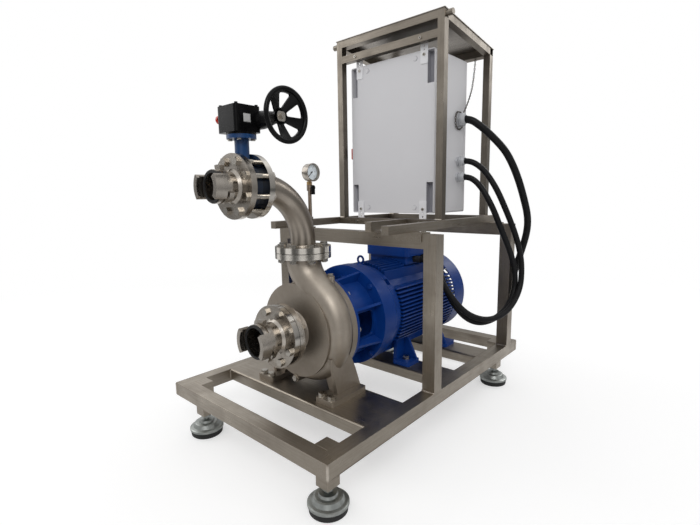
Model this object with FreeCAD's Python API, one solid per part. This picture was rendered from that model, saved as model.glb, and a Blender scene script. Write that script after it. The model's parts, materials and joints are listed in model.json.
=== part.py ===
"""Skid mounted centrifugal pump set with an electric motor and a control cabinet.

Millimetres, +Z up.  The suction side faces -Y and the motor stands towards +Y, so
+X is on the right of someone who looks at the suction flange.  The shapes are built
with the middle of the base frame at X = 0, Y = 0 and the floor at Z = 0.  On export
everything moves along Y, so that the origin lies under the middle of the whole box.
"""
import FreeCAD, Part
import math
import os

V = FreeCAD.Vector
X_AXIS = V(1, 0, 0)
Y_AXIS = V(0, 1, 0)
Z_AXIS = V(0, 0, 1)

# Fits between pieces
RUN_CLEAR = 0.05          # radial clearance of a shaft or pin that turns
BODY_GAP = 0.3            # space between curved faces of pieces that move apart
HIDDEN_GAP = 1.0          # free space round parts that turn inside a casing

# Base frame of square stainless tube
TUBE = 50.0
TUBE_WALL = 3.0
FRAME_WIDTH = 815.0
FRAME_LENGTH = 1300.0
FRAME_TOP = 210.0
LEG_BOTTOM = 79.0
LEG_PLATE = 10.0
BEAM_HEIGHT = 42.0
BEAM_SHEET = 5.0
BEAM_BEND_RADIUS = 7.0
PUMP_BEAM = (-441.0, -227.0)
MOTOR_BEAMS = ((24.0, 136.0), (325.0, 445.0))

# Levelling feet
PAD_RADIUS = 58.0
PAD_HEIGHT = 21.0
DOME_RADIUS = 62.5
DOME_RIM = 11.0
DOME_STEP_RADIUS = 47.0
DOME_STEP = 17.0
DOME_TOP_RADIUS = 27.0
DOME_TOP = 9.0
STUD_RADIUS = 8.0
STUD_REACH = 80.0
FOOT_TRAVEL = 20.0
FOOT_NUT = 13.0
FOOT_NUT_ACROSS = 30.0

# Portals that carry the cage
PORTAL_HEIGHT = 564.5
PORTAL_FRONT = -109.0
PORTAL_REAR = 535.0

# Rails, saddles and cage of thinner square tube
RAIL = 30.0
RAIL_WALL = 2.0
RAIL_CAP = 3.0
RAIL_OUTER = 305.0
RAIL_FRONT_END = -240.0
RAIL_REAR_END = 640.0
SADDLE_SHEET = 5.0
SADDLE_HALF = 61.0
SADDLE_DROP = 26.0
SADDLE_BOLT_OFFSET = 52.0
SADDLE_BOLT = 5.0
BOLT_HEAD = 6.5
BOLT_ACROSS = 17.0
PROP_X = 77.0
PROP_FRONT = -84.0
CAGE_FRONT = 155.0
CAGE_REAR = 585.0
CAGE_TOP_FRONT = 1598.0
CAGE_TOP_REAR = 1543.0
CABINET_RAIL_TOP = 1531.0
ROOF_SHEET = 2.5
ROOF_OVERHANG = 3.0
PEG_RADIUS = 11.5
PEG_LENGTH = 28.0

# Control cabinet
CABINET_WIDTH = 436.0
CABINET_HEIGHT = 647.0
CABINET_BOTTOM = 832.0
CABINET_BODY_DEPTH = 246.0
CABINET_WALL = 5.0
CABINET_EDGE_RADIUS = 8.0
LIP_WIDTH = 12.0
LIP_THICK = 3.0
POCKET_WALL = 2.5
DOOR_THICKNESS = 18.0
DOOR_GAP = 1.0
DOOR_WALL = 4.0
CORNER_SLOT_WIDTH = 31.0
CORNER_SLOT_HEIGHT = 125.0
CORNER_SLOT_DEPTH = 26.0
CORNER_SLOT_INSET = 4.0
HINGE_PIN_RADIUS = 3.0
HINGE_OFFSET = 8.0
HINGE_LENGTH = 46.0
HINGE_KNUCKLE = 10.0
HINGE_LUG_RADIUS = 6.5
HINGE_SHARE = 0.12
LOCK_RADIUS = 11.0
LOCK_INSET = 34.0
LOCK_HEIGHT_SHARE = 0.3
LOCK_RIM = 2.5
LOCK_HEAD = 3.0
LOCK_KEY = 3.0
LOCK_STEM = 5.0
CAM_THICK = 3.0
CAM_HALF = 6.0
CAM_REACH = 24.0
BRACKET_WIDTH = 34.0
BRACKET_SHEET = 3.0
BRACKET_X = 168.0
BRACKET_CORNER = 4.0
BRACKET_HOLE = 4.0
BRACKET_HOLE_PITCH = 14.0
BRACKET_OVERLAP = 53.0
SCREW_RADIUS = 3.0
SCREW_HEAD_RADIUS = 6.0
SCREW_HEAD = 3.5
CABINET_SCREW_DROP = 18.0
BACK_PLUG_RADIUS = 9.0
BACK_PLUG_X = 125.0
BACK_PLUG_INSET = 25.0
BACK_PLUG = 2.5
PLATE_SHEET = 3.0
PLATE_STANDOFF = 28.0
PLATE_HALF = 178.0
PLATE_MARGIN = 28.0
POST_RADIUS = 6.0
POST_INSET = 16.0
# x0, width, z0, height and depth of each device on the plate
GEAR_BLOCKS = ((-140.0, 90.0, 1375.0, 75.0, 60.0),
               (-30.0, 45.0, 1375.0, 75.0, 65.0), (25.0, 45.0, 1375.0, 75.0, 65.0),
               (-120.0, 105.0, 1190.0, 140.0, 75.0), (10.0, 54.0, 1210.0, 90.0, 80.0),
               (72.0, 54.0, 1210.0, 90.0, 80.0), (-100.0, 250.0, 930.0, 50.0, 45.0),
               (-150.0, 300.0, 1350.0, 18.0, 50.0), (-150.0, 300.0, 1160.0, 18.0, 50.0),
               (-100.0, 250.0, 1010.0, 18.0, 50.0))
SWITCH_HEIGHT = 1107.0
SWITCH_Y = 226.0
SWITCH_SIZE = 46.0
SWITCH_BASE = 10.0
SWITCH_CORNER = 5.0
SWITCH_HOLE = 12.0
SWITCH_HUB = 15.0
SWITCH_HUB_LENGTH = 12.0
SWITCH_BAR = 12.0
SWITCH_BAR_HALF = 7.0
SWITCH_BAR_LENGTH = 50.0
SWITCH_SHAFT = 4.0
SWITCH_REACH = 30.0
ISOLATOR_DEPTH = 30.0

# Cable glands and cables
SUPPLY_CABLE_RADIUS = 15.5
MOTOR_CABLE_RADIUS = 12.5
GLAND_Y = 385.0
SUPPLY_GLAND_Z = 1226.0
MOTOR_GLAND_Z = (1052.0, 984.0)
SUPPLY_GLAND_RADIUS = 29.0
MOTOR_GLAND_RADIUS = 22.0
GLAND_LENGTH = 36.0
GLAND_GROOVE = 3.0
GLAND_NUT = 6.0
SPIGOT_SHARE = 0.72
DOME_RIM_WALL = 2.0
GLAND_BORE = 20.0
BOX_GLAND_RADIUS = 15.5
CHAIN_RADIUS = 2.0
COIL_CENTRE = (-290.0, 905.0)
COIL_RADIUS = 170.0
COIL_TURNS_ACROSS = 2
PLUG_RADIUS = 34.0
PLUG_LENGTH = 165.0
# Route points of the cables from gland to gland
SUPPLY_ROUTE = ((234.0, 385.0, 1226.0), (270.0, 385.0, 1226.0), (312.0, 408.0, 1192.0), (354.0, 436.0, 1146.0),
                (390.0, 478.0, 1093.0), (410.0, 510.0, 1039.0), (425.0, 545.0, 976.0), (435.0, 586.0, 902.0),
                (440.0, 645.0, 806.0), (434.0, 660.0, 732.0), (406.0, 672.0, 635.0), (374.0, 680.0, 535.0),
                (352.0, 684.0, 433.0), (340.0, 686.0, 330.0), (334.0, 690.0, 230.0), (322.0, 700.0, 140.0),
                (290.0, 715.0, 72.0), (235.0, 727.0, 31.0), (165.0, 734.0, 16.5), (85.0, 735.0, 15.5),
                (5.0, 730.0, 15.5), (-70.0, 723.0, 15.5), (-140.0, 720.0, 15.5), (-212.6, 719.5, 15.5))
MOTOR_ROUTE_UPPER = ((234.0, 385.0, 1052.0), (266.0, 385.0, 1052.0), (300.0, 397.0, 1038.0),
                     (330.0, 413.0, 1008.0), (358.0, 422.0, 968.0), (386.0, 430.0, 918.0), (410.0, 441.0, 860.0),
                     (429.0, 468.0, 794.0), (441.0, 508.0, 725.0), (445.0, 547.0, 660.0), (446.5, 572.0, 602.0),
                     (446.5, 580.0, 542.0), (446.5, 570.0, 492.0), (444.0, 535.0, 446.0), (438.0, 475.0, 406.0),
                     (420.0, 412.0, 380.0), (390.0, 357.0, 372.0), (355.0, 315.0, 385.0), (320.0, 284.0, 412.0),
                     (284.0, 264.0, 455.0), (248.0, 255.0, 505.0), (216.0, 246.0, 555.0), (192.0, 236.0, 592.0),
                     (168.0, 228.0, 620.0), (147.0, 226.0, 631.0), (116.0, 226.0, 631.0))
MOTOR_ROUTE_LOWER = ((234.0, 385.0, 984.0), (266.0, 385.0, 984.0), (298.0, 393.0, 968.0),
                     (328.0, 398.0, 934.0), (356.0, 400.0, 890.0), (384.0, 408.0, 832.0), (403.0, 430.0, 765.0),
                     (415.0, 470.0, 700.0), (420.5, 516.0, 640.0), (420.8, 555.0, 580.0), (420.8, 574.0, 525.0),
                     (420.8, 568.0, 472.0), (420.8, 532.0, 428.0), (412.0, 478.0, 390.0), (392.0, 420.0, 362.0),
                     (360.0, 372.0, 350.0), (326.0, 336.0, 360.0), (292.0, 312.0, 390.0), (258.0, 297.0, 437.0),
                     (229.0, 290.0, 490.0), (206.0, 289.0, 543.0), (188.0, 290.0, 585.0), (166.0, 291.0, 617.0),
                     (147.0, 290.0, 631.0), (116.0, 290.0, 631.0))
CHAIN_ROUTE = ((200.0, 568.0, 1514.0), (209.0, 541.0, 1440.0), (220.0, 497.0, 1360.0), (232.0, 432.0, 1290.0),
               (240.0, 390.0, 1255.0))
TAIL_OFFSET = 77.0
TAIL_LENGTH = 61.0

# Pump
FIX_BOLT = 8.0
WASHER = 3.0
SHAFT_HEIGHT = 200.0
FOOT_RAISE = 25.0         # the feet are cast this much taller than the frame size asks for
SHAFT_Z = FRAME_TOP + FOOT_RAISE + SHAFT_HEIGHT
DISCHARGE_Y = -340.0
DISCHARGE_RISE = 280.0
SUCTION_REACH = 125.0
GASKET = 2.0
SUCTION_BORE_RADIUS = 50.0
SUCTION_FLANGE_RADIUS = 110.0
SUCTION_FLANGE_THICK = 22.0
SUCTION_BOLT_CIRCLE = 90.0
DISCHARGE_BORE_RADIUS = 40.0
DISCHARGE_FLANGE_RADIUS = 100.0
DISCHARGE_FLANGE_THICK = 20.0
DISCHARGE_BOLT_CIRCLE = 80.0
NECK_RADIUS = 60.0
CASING_WALL = 9.0
CASING_HALF_WIDTH = 48.0
CASING_DRUM_RADIUS = 150.0
CASING_FLANGE_RADIUS = 190.0
CASING_FLANGE_FRONT = -292.0
CASING_FLANGE_REAR = -266.0
VOLUTE_START_OUTER = 156.0
VOLUTE_END_OUTER = 218.0
VOLUTE_START_RADIUS = 20.0
VOLUTE_END_RADIUS = 47.0
VOLUTE_START_ANGLE = 112.0
VOLUTE_SWEEP = 266.0
VOLUTE_STEPS = 12
# Sections of the neck: place across and above the shaft, radius, direction of flow in degrees
NECK_STATIONS = ((138.0, 98.0, 50.0, 126.0), (98.0, 134.0, 52.5, 140.0), (52.0, 168.0, 56.0, 142.0),
                 (17.0, 204.0, 59.5, 118.0), (2.0, 240.0, 61.5, 97.0), (0.0, 268.0, 62.0, 90.0))
CASING_FRONT = -393.0
CASING_STEP_RADIUS = 170.0
CAVITY_RADIUS = 140.0
FLANGE_BOLT = 8.0
CASING_BOLT = 6.0
CASING_BOLT_CIRCLE = 173.0
PLUG_BOSS = 14.0
PLUG_SHANK = 8.0
PLUG_DEPTH = 12.0
DRAIN_Y = -396.0
DRAIN_Z = 256.0
VENT_X = 100.0
VENT_Y = -305.0
VENT_Z = 631.0
VENT_BOSS = 50.0
COVER_REGISTER = 23.0
COVER_HUB_RADIUS = 60.0
SEAL_CHAMBER = 36.0
SEAL_WALL_Y = -258.0
SEAL_SEAT = 10.0
IMPELLER_EYE_OUTER = 54.0
IMPELLER_HUB_REAR = -304.0
HUB_RADIUS = 30.0
HUB_NOSE = 24.0
VANE_POINTS = 9
VANE_ROOT = 44.0
VANE_WRAP = 95.0
VANE_LEAN = 60.0
IMPELLER_NUT = 36.0
NUT_LENGTH = 18.0
IMPELLER_RADIUS = 128.0
IMPELLER_WIDTH = 26.0
IMPELLER_EYE_RADIUS = 48.0
IMPELLER_SHROUD = 5.0
VANE_COUNT = 6
VANE_THICK = 5.0
SHAFT_RADIUS = 20.0
SEAL_RADIUS = 31.0
SEAL_LENGTH = 30.0
PUMP_FOOT_OUTER = 202.0
PUMP_FOOT_INNER = 118.0
PUMP_FOOT_FRONT = -415.0
PUMP_FOOT_REAR = -236.0
PUMP_FOOT_THICK = 18.0
PUMP_BOLTS = ((138.0, -398.0), (182.0, -398.0), (138.0, -260.0))
FOOT_CORNER = 10.0
FOOT_WEB = 14.0
FOOT_WEB_IN = 95.0
FOOT_WEB_LOW = 300.0
FOOT_WEB_TOP = 375.0
FOOT_SIDE_X = 158.0
# Corners (y, z) of the side plate of a pump foot above its base
FOOT_SIDE = ((-236.0, 228.0), (-262.0, 300.0), (-283.0, 345.0), (-300.0, 362.0), (-386.0, 362.0), (-357.0, 228.0))

# Lantern between pump and motor
LANTERN_RING_RADIUS = 184.0
LANTERN_RING_REAR = -246.0
LANTERN_DRUM_RADIUS = 158.0
LANTERN_WALL = 10.0
LANTERN_FLANGE_FRONT = -120.0
LANTERN_FLANGE_REAR = -67.0
LANTERN_FLANGE_RADIUS = 202.0
LANTERN_WINDOWS = 4
LANTERN_RIBS = 8
LANTERN_RIB = 10.0
SPIGOT_RADIUS = 130.0
WINDOW_HALF = 48.0
WINDOW_FRONT = -232.0
WINDOW_REAR = -134.0
WINDOW_CORNER = 14.0
MOTOR_BOLT_CIRCLE = 187.0

# Motor
MOTOR_FLANGE_RADIUS = 200.0
MOTOR_FLANGE_REAR = -45.0
SHIELD_RADIUS = 188.0
SHIELD_WALL = 12.0
SHIELD_CONE_Y = -26.0
SPIGOT_DEPTH = 8.0
SHAFT_RADIUS_MOTOR = 27.5
BEARING_FRONT = -62.0
BEARING_REAR = 434.0
BEARING_BALLS = 8
BEARING_BALL = 4.7
BEARING_RACE = 9.0
REAR_SHIELD = 36.0
CLAMP_Y = -205.0
CLAMP_RADIUS = 40.0
CLAMP_LENGTH = 60.0
ROTOR_RING = 96.0
FAN_Y = 482.0
FAN_SHAFT = 19.0
FAN_HUB = 40.0
FAN_HUB_RADIUS = 34.0
FAN_SHEET = 4.0
GRILLE_RADIUS = 150.0
GRILLE_FIRST = 30
GRILLE_PITCH = 15
GRILLE_BAR = 4.0
GRILLE_SPOKES = 12
LIFTING_Y = -22.0
EYE_COLLAR = 15.0
EYE_COLLAR_HEIGHT = 8.0
EYE_RADIUS = 14.5
EYE_WIRE = 4.5
EYE_SHANK = 6.0
EYE_DEPTH = 16.0
STATOR_FRONT = 0.0
STATOR_REAR = 430.0
STATOR_CORE_RADIUS = 168.0
STATOR_BORE_RADIUS = 112.0
FIN_RADIUS = 199.0
FIN_THICK = 5.0
FIN_PITCH = 15.0
FIN_SPREAD = 105.0
ROTOR_GAP = 1.0
BEARING_RADIUS = 55.0
BEARING_WIDTH = 28.0
FAN_COVER_RADIUS = 196.0
FAN_COVER_REAR = 535.0
FAN_COVER_SHEET = 3.0
FAN_RADIUS = 165.0
FAN_BLADES = 7
FOOT_HOLE_X = 159.0
FOOT_HOLES_Y = (80.0, 385.0)
MOTOR_FOOT_OUTER = 200.0
MOTOR_FOOT_INNER = 118.0
MOTOR_FOOT_LENGTH = 86.0
MOTOR_FOOT_THICK = 16.0
FOOT_PEDESTAL = 134.0
FOOT_PEDESTAL_TOP = 330.0
FOOT_CHEEK = 10.0
PAD_RISE = 12.0
BOX_HALF_WIDTH = 100.0
BOX_FRONT = 165.0
BOX_REAR = 357.0
BOX_BOTTOM = 611.0
BOX_SPLIT = 647.0
BOX_TOP = 690.0
BOX_WALL = 4.0
LID_OVERHANG = 15.0
BOX_GLAND_Z = 631.0
BOX_CORNER = 8.0
LID_EDGE = 5.0
LID_SCREW_DEPTH = 12.0
TERMINAL_HALF = 60.0
BOX_GLAND_Y = (226.0, 290.0)

# Discharge elbow, valve and couplings
BEND_RADIUS = 190.0
PIPE_RADIUS = 44.45
PIPE_WALL = 3.0
OUTLET_Z = 943.0
VALVE_REAR_FACE = -556.0
VALVE_WIDTH = 46.0
VALVE_BORE = 39.0
OUTLET_BORE_RADIUS = 40.0
VALVE_BODY_RADIUS = 66.0
VALVE_LINER = 7.0
DISC_THICK = 12.0
STEM_RADIUS = 8.0
NECK_TOP = 1098.0
VALVE_NECK_RADIUS = 22.0
TOP_FLANGE_RADIUS = 45.0
TOP_FLANGE_THICK = 12.0
TOP_BOLT_CIRCLE = 35.0
TOP_BOLT = 4.0
TOP_BOLT_DEPTH = 6.0
TAPPING_LOW = 806.0
TAPPING_TOP = 838.0
TAPPING_SEAT = 12.0
GAUGE_SOCKET = 10.0
COUPLING_STEP = 5.0
COUPLING_HEAD = 12.0
CLAW_LIP = 8.0
LOCK_RING_WALL = 7.0
LOCK_RING_WIDTH = 16.0
LOCK_LUG = 12.0
LOCK_LUG_SWEEP = 26.0
SECTOR_STEP = 8.0
CLAW_THICK = 9.0
CLAW_HALF_ANGLE = 36.0
CLAW_REACH = 44.0
SUCTION_RING_FACE = -563.0
SUCTION_RING_RADIUS = 60.0
OUTLET_RING_FACE = -688.0
OUTLET_RING_RADIUS = 50.0
SEAL_LIP = 4.0
PLUG_HEAD = 8.0

# Gearbox with worm drive and handwheel
GEAR_BOTTOM = 1104.0
GEAR_HEIGHT = 78.0
GEAR_LEFT = -58.0
GEAR_RIGHT = 42.0
GEAR_HALF_DEPTH = 46.0
GEAR_WALL = 6.0
WORM_OFFSET = 44.0
WORM_RADIUS = 9.0
WORM_Z = 1142.0
WHEEL_TEETH = 24
TOOTH_DEPTH = 4.4
WHEEL_FACE = 10.0
WHEEL_HUB = 20.0
SPACE_SHARE_TOP = 0.66
SPACE_SHARE_ROOT = 0.42
THREAD_SHARE_ROOT = 0.46
THREAD_SHARE_TIP = 0.24
WORM_LENGTH = 46.0
WORM_END = 4.0
JOURNAL_RADIUS = 8.0
GEAR_CORNER = 12.0
SNOUT_END_RADIUS = 17.0
STOP_RADIUS = 11.0
STOP_Y = -600.0
STOP_Z = 1150.0
STOP_LENGTH = 16.0
STOP_CAP = 10.0
LABEL_OFFSET = 7.0
LABEL_WIDTH = 22.0
LABEL_HEIGHT = 18.0
LABEL_SHEET = 1.0
INDICATOR_RADIUS = 22.0
SNOUT_RIGHT = 112.0
SNOUT_RADIUS = 27.0
HANDWHEEL_RADIUS = 73.0
HANDWHEEL_RIM = 7.5
HANDWHEEL_X = 162.0
HANDWHEEL_HUB_X = 127.0
HANDWHEEL_HUB_RADIUS = 17.0
HANDWHEEL_HUB_LENGTH = 24.0
HANDWHEEL_PLATE = 7.0
HANDWHEEL_PETALS = 5
PETAL_INNER = 24.0
PETAL_INNER_HALF = 5.0
PETAL_OUTER = 63.0
PETAL_SPREAD = 0.47
PETAL_CORNER = 6.0
PETAL_FIRST = 18.0
HUB_SEAT = 12.0

# Pressure gauge on the elbow
GAUGE_RADIUS = 31.5
GAUGE_DEPTH = 30.0
GAUGE_Z = 994.0
GAUGE_TUBE_RADIUS = 6.5
GAUGE_TUBE_BORE = 4.0
GAUGE_X = 3.0
GAUGE_Y = -303.0
GAUGE_FORWARD = 8.0
GAUGE_DIAL = 18.0
GAUGE_NUT = 17.0
COCK_Z = 930.0
COCK_RADIUS = 10.0
COCK_HEIGHT = 22.0
COCK_SPINDLE = 3.0
HANDLE_LENGTH = 24.0
POINTER_PIVOT = 1.0
POINTER_LENGTH = 22.0
POINTER_REST = 135.0

PARTS = {}


def box(x0, x1, y0, y1, z0, z1):
    """Block between three pairs of coordinates."""
    return Part.makeBox(x1 - x0, y1 - y0, z1 - z0, V(x0, y0, z0))


def rod(radius, start, axis, length):
    """Cylinder from a start point along an axis."""
    return Part.makeCylinder(radius, length, start, axis)


def ring(outer, inner, start, axis, length):
    """Hollow cylinder."""
    return rod(outer, start, axis, length).cut(rod(inner, start, axis, length))


def taper(radius0, radius1, start, axis, length):
    """Cone frustum."""
    return Part.makeCone(radius0, radius1, length, start, axis)


def prism(points, push):
    """Solid made by pushing a closed polygon along a vector."""
    wire = Part.makePolygon(list(points) + [points[0]])
    return Part.Face(wire).extrude(push)


def revolve_profile(points, centre, axis):
    """Solid of revolution from (radius, height) points about an axis through centre."""
    side = X_AXIS if abs(axis.dot(X_AXIS)) < 0.5 else Z_AXIS
    corners = [centre + side * r + axis * h for r, h in points]
    face = Part.Face(Part.makePolygon(corners + [corners[0]]))
    return face.revolve(centre, axis, 360)


def hexagon(across, start, axis, length):
    """Hexagonal prism across flats, from a start point along an axis."""
    side = X_AXIS if abs(axis.dot(X_AXIS)) < 0.5 else Y_AXIS
    other = axis.cross(side)
    radius = across / math.sqrt(3)
    corners = []
    for k in range(6):
        angle = math.radians(60 * k)
        corners.append(start + side * (radius * math.cos(angle)) + other * (radius * math.sin(angle)))
    return prism(corners, axis * length)


def fuse(shapes):
    """One solid from touching shapes."""
    shapes = list(shapes)
    return shapes[0].multiFuse(shapes[1:]).removeSplitter()


def turned(shape, centre, axis, angle):
    """Copy of a shape turned about an axis."""
    copy = shape.copy()
    copy.rotate(centre, axis, angle)
    return copy


def mirrored_x(shape):
    """Copy of a shape mirrored through the X = 0 plane."""
    return shape.mirror(V(0, 0, 0), X_AXIS)


def square_tube(x0, x1, y0, y1, z0, z1, wall, axis):
    """Straight square tube with open ends along one axis."""
    inner = [x0 + wall, x1 - wall, y0 + wall, y1 - wall, z0 + wall, z1 - wall]
    index = {"x": 0, "y": 2, "z": 4}[axis]
    outer = [x0, x1, y0, y1, z0, z1]
    inner[index] = outer[index]
    inner[index + 1] = outer[index + 1]
    return box(*outer).cut(box(*inner))


def mitred_tube(corner, along, inward, up, length, size, wall, mitres=(True, True)):
    """Square tube whose ends may be cut at 45 degrees, with its outer corner given."""
    def outline(depth0, depth1, start_cut, end_cut):
        first = depth0 if start_cut else 0.0
        last = depth1 if start_cut else 0.0
        first_end = length - (depth0 if end_cut else 0.0)
        last_end = length - (depth1 if end_cut else 0.0)
        return [corner + along * first + inward * depth0,
                corner + along * first_end + inward * depth0,
                corner + along * last_end + inward * depth1,
                corner + along * last + inward * depth1]
    outer = prism(outline(0.0, size, *mitres), up * size)
    hole = [p + up * wall for p in outline(wall, size - wall, *mitres)]
    return outer.cut(prism(hole, up * (size - 2 * wall)))


def on_circle(count, radius, first_angle=0.0):
    """Pairs (u, v) evenly spaced on a circle."""
    pairs = []
    for k in range(count):
        angle = math.radians(first_angle + 360.0 * k / count)
        pairs.append((radius * math.cos(angle), radius * math.sin(angle)))
    return pairs


def arc_path(points, label):
    """Wire of straight runs joined by tangent arcs, and its length."""
    edges = []
    radii = []
    start = points[0]
    for before, here, after in zip(points, points[1:], points[2:]):
        into = here - before
        out = after - here
        turn = into.getAngle(out)
        reach = 0.45 * min(into.Length, out.Length)
        radii.append(reach / math.tan(turn / 2))
        into_dir = V(into).normalize()
        out_dir = V(out).normalize()
        a = here - into_dir * reach
        b = here + out_dir * reach
        towards = (out_dir - into_dir).normalize()
        radius = radii[-1]
        centre_distance = math.hypot(radius, reach)
        middle = here + towards * (centre_distance - radius)
        edges.append(Part.LineSegment(start, a).toShape())
        edges.append(Part.Arc(a, middle, b).toShape())
        start = b
    edges.append(Part.LineSegment(start, points[-1]).toShape())
    wire = Part.Wire(edges)
    print(label, "length", round(wire.Length), "bend radii", [round(r) for r in radii])
    return wire


def swept_tube(points, radius, label):
    """Round solid along a route of straight runs and tangent arcs."""
    wire = arc_path(points, label)
    start_dir = (points[1] - points[0]).normalize()
    circle = Part.Wire(Part.makeCircle(radius, points[0], start_dir))
    tube = wire.makePipeShell([circle], True, False)
    expected = math.pi * radius ** 2 * wire.Length
    print(label, "volume share", round(tube.Volume / expected, 4))
    return tube


def add(name, *solids):
    """Put solids into a named node."""
    PARTS.setdefault(name, []).extend(solids)


# Levels and edges that several pieces share
HALF_WIDTH = FRAME_WIDTH / 2
HALF_LENGTH = FRAME_LENGTH / 2
PORTAL_TOP = FRAME_TOP + PORTAL_HEIGHT
RAIL_BOTTOM = PORTAL_TOP + SADDLE_SHEET
RAIL_TOP = RAIL_BOTTOM + RAIL
CAGE_HALF = RAIL_OUTER - RAIL
CAGE_INNER = CAGE_HALF - RAIL
ROOF_SLOPE = (CAGE_TOP_REAR - CAGE_TOP_FRONT) / (CAGE_REAR - CAGE_FRONT)
PORTALS = (PORTAL_FRONT, PORTAL_REAR)
SIDES = (-1, 1)
CABINET_BACK = CAGE_FRONT + RAIL + BRACKET_SHEET
CABINET_HALF = CABINET_WIDTH / 2
CABINET_TOP = CABINET_BOTTOM + CABINET_HEIGHT
CABINET_JOINT = CABINET_BACK + CABINET_BODY_DEPTH


def roof_line(y):
    """Height of the sloping top of the cage at a place along Y."""
    return CAGE_TOP_FRONT + (y - CAGE_FRONT) * ROOF_SLOPE


def foot_centres():
    """Plan positions of the four legs."""
    x = HALF_WIDTH - 1.5 * TUBE
    y = HALF_LENGTH - 1.5 * TUBE
    return (("front_left", -x, -y), ("front_right", x, -y), ("rear_left", -x, y), ("rear_right", x, y))


def base_frame():
    """Four mitred rails and four legs inside their corners."""
    low = FRAME_TOP - TUBE
    corners = ((V(-HALF_WIDTH, -HALF_LENGTH, low), X_AXIS, Y_AXIS, FRAME_WIDTH),
               (V(HALF_WIDTH, HALF_LENGTH, low), -X_AXIS, -Y_AXIS, FRAME_WIDTH),
               (V(HALF_WIDTH, -HALF_LENGTH, low), Y_AXIS, -X_AXIS, FRAME_LENGTH),
               (V(-HALF_WIDTH, HALF_LENGTH, low), -Y_AXIS, X_AXIS, FRAME_LENGTH))
    for corner, along, inward, length in corners:
        add("base_frame", mitred_tube(corner, along, inward, Z_AXIS, length, TUBE, TUBE_WALL))
    half = TUBE / 2
    for _, x, y in foot_centres():
        leg = box(x - half, x + half, y - half, y + half, LEG_BOTTOM, FRAME_TOP)
        inner = half - TUBE_WALL
        room_top = FRAME_TOP - TUBE_WALL
        leg = leg.cut(box(x - inner, x + inner, y - inner, y + inner, LEG_BOTTOM + LEG_PLATE, room_top))
        add("base_frame", leg.cut(rod(STUD_RADIUS + RUN_CLEAR, V(x, y, LEG_BOTTOM), Z_AXIS, LEG_PLATE)))


def levelling_feet():
    """Rubber pad bonded under a stepped dome, with the stud and nut that carry the leg."""
    for name, x, y in foot_centres():
        base = V(x, y, 0)
        step0 = PAD_HEIGHT + DOME_RIM
        step1 = step0 + DOME_STEP
        top = step1 + DOME_TOP
        dome = revolve_profile([(0, PAD_HEIGHT), (DOME_RADIUS - 2, PAD_HEIGHT), (DOME_RADIUS, PAD_HEIGHT + 2),
                                (DOME_RADIUS, step0 - 2), (DOME_RADIUS - 4, step0), (DOME_STEP_RADIUS + 3, step0 + 2),
                                (DOME_STEP_RADIUS - 3, step1 - 2), (DOME_STEP_RADIUS - 8, step1),
                                (DOME_TOP_RADIUS + 3, step1 + 1), (DOME_TOP_RADIUS, top), (0, top)], base, Z_AXIS)
        nut = hexagon(FOOT_NUT_ACROSS, V(x, y, LEG_BOTTOM - FOOT_NUT), Z_AXIS, FOOT_NUT)
        stud = rod(STUD_RADIUS, V(x, y, top), Z_AXIS, STUD_REACH)
        pad = revolve_profile([(0, 0), (PAD_RADIUS - 3, 0), (PAD_RADIUS, 3), (PAD_RADIUS + 2, PAD_HEIGHT - 2),
                               (PAD_RADIUS + 2, PAD_HEIGHT), (0, PAD_HEIGHT)], base, Z_AXIS)
        add("foot_" + name, fuse([dome, nut, stud]), pad)


def cross_beams():
    """Folded channels, open below, that carry the pump and the motor."""
    inner = HALF_WIDTH - TUBE
    for y0, y1 in (PUMP_BEAM,) + MOTOR_BEAMS:
        beam = box(-inner, inner, y0, y1, FRAME_TOP - BEAM_HEIGHT, FRAME_TOP)
        bends = [e for e in beam.Edges if abs(e.BoundBox.XLength - 2 * inner) < 1 and e.BoundBox.ZMin > FRAME_TOP - 1]
        beam = beam.makeFillet(BEAM_BEND_RADIUS, bends)
        room = box(-inner, inner, y0 + BEAM_SHEET, y1 - BEAM_SHEET, FRAME_TOP - BEAM_HEIGHT, FRAME_TOP - BEAM_SHEET)
        for x, y in pump_foot_bolts() + motor_foot_bolts():
            room = room.fuse(rod(FIX_BOLT, V(x, y, FRAME_TOP - BEAM_SHEET), Z_AXIS, BEAM_SHEET))
        add("cross_beams", beam.cut(room))


def portals():
    """Two portals with mitred top corners, standing on the side rails."""
    for y in PORTALS:
        for side in SIDES:
            corner = V(side * HALF_WIDTH, y, FRAME_TOP)
            post = mitred_tube(corner, Z_AXIS, X_AXIS * -side, Y_AXIS, PORTAL_HEIGHT, TUBE, TUBE_WALL, (False, True))
            add("portals", post)
        corner = V(-HALF_WIDTH, y, PORTAL_TOP)
        top = mitred_tube(corner, X_AXIS, -Z_AXIS, Y_AXIS, FRAME_WIDTH, TUBE, TUBE_WALL)
        for x, bolt_y in saddle_bolts():
            if y < bolt_y < y + TUBE:
                top = top.cut(rod(SADDLE_BOLT, V(x, bolt_y, PORTAL_TOP - TUBE_WALL), Z_AXIS, TUBE_WALL))
        add("portals", top)


def saddle_bolts():
    """Plan positions of the bolts through the saddles."""
    centre = RAIL_OUTER - RAIL / 2
    places = []
    for y in PORTALS:
        for side in SIDES:
            places.append((side * (centre + SADDLE_BOLT_OFFSET), y + TUBE / 2))
            if y == PORTAL_FRONT:
                places.append((side * (centre - SADDLE_BOLT_OFFSET), y + TUBE / 2))
    return places


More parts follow.
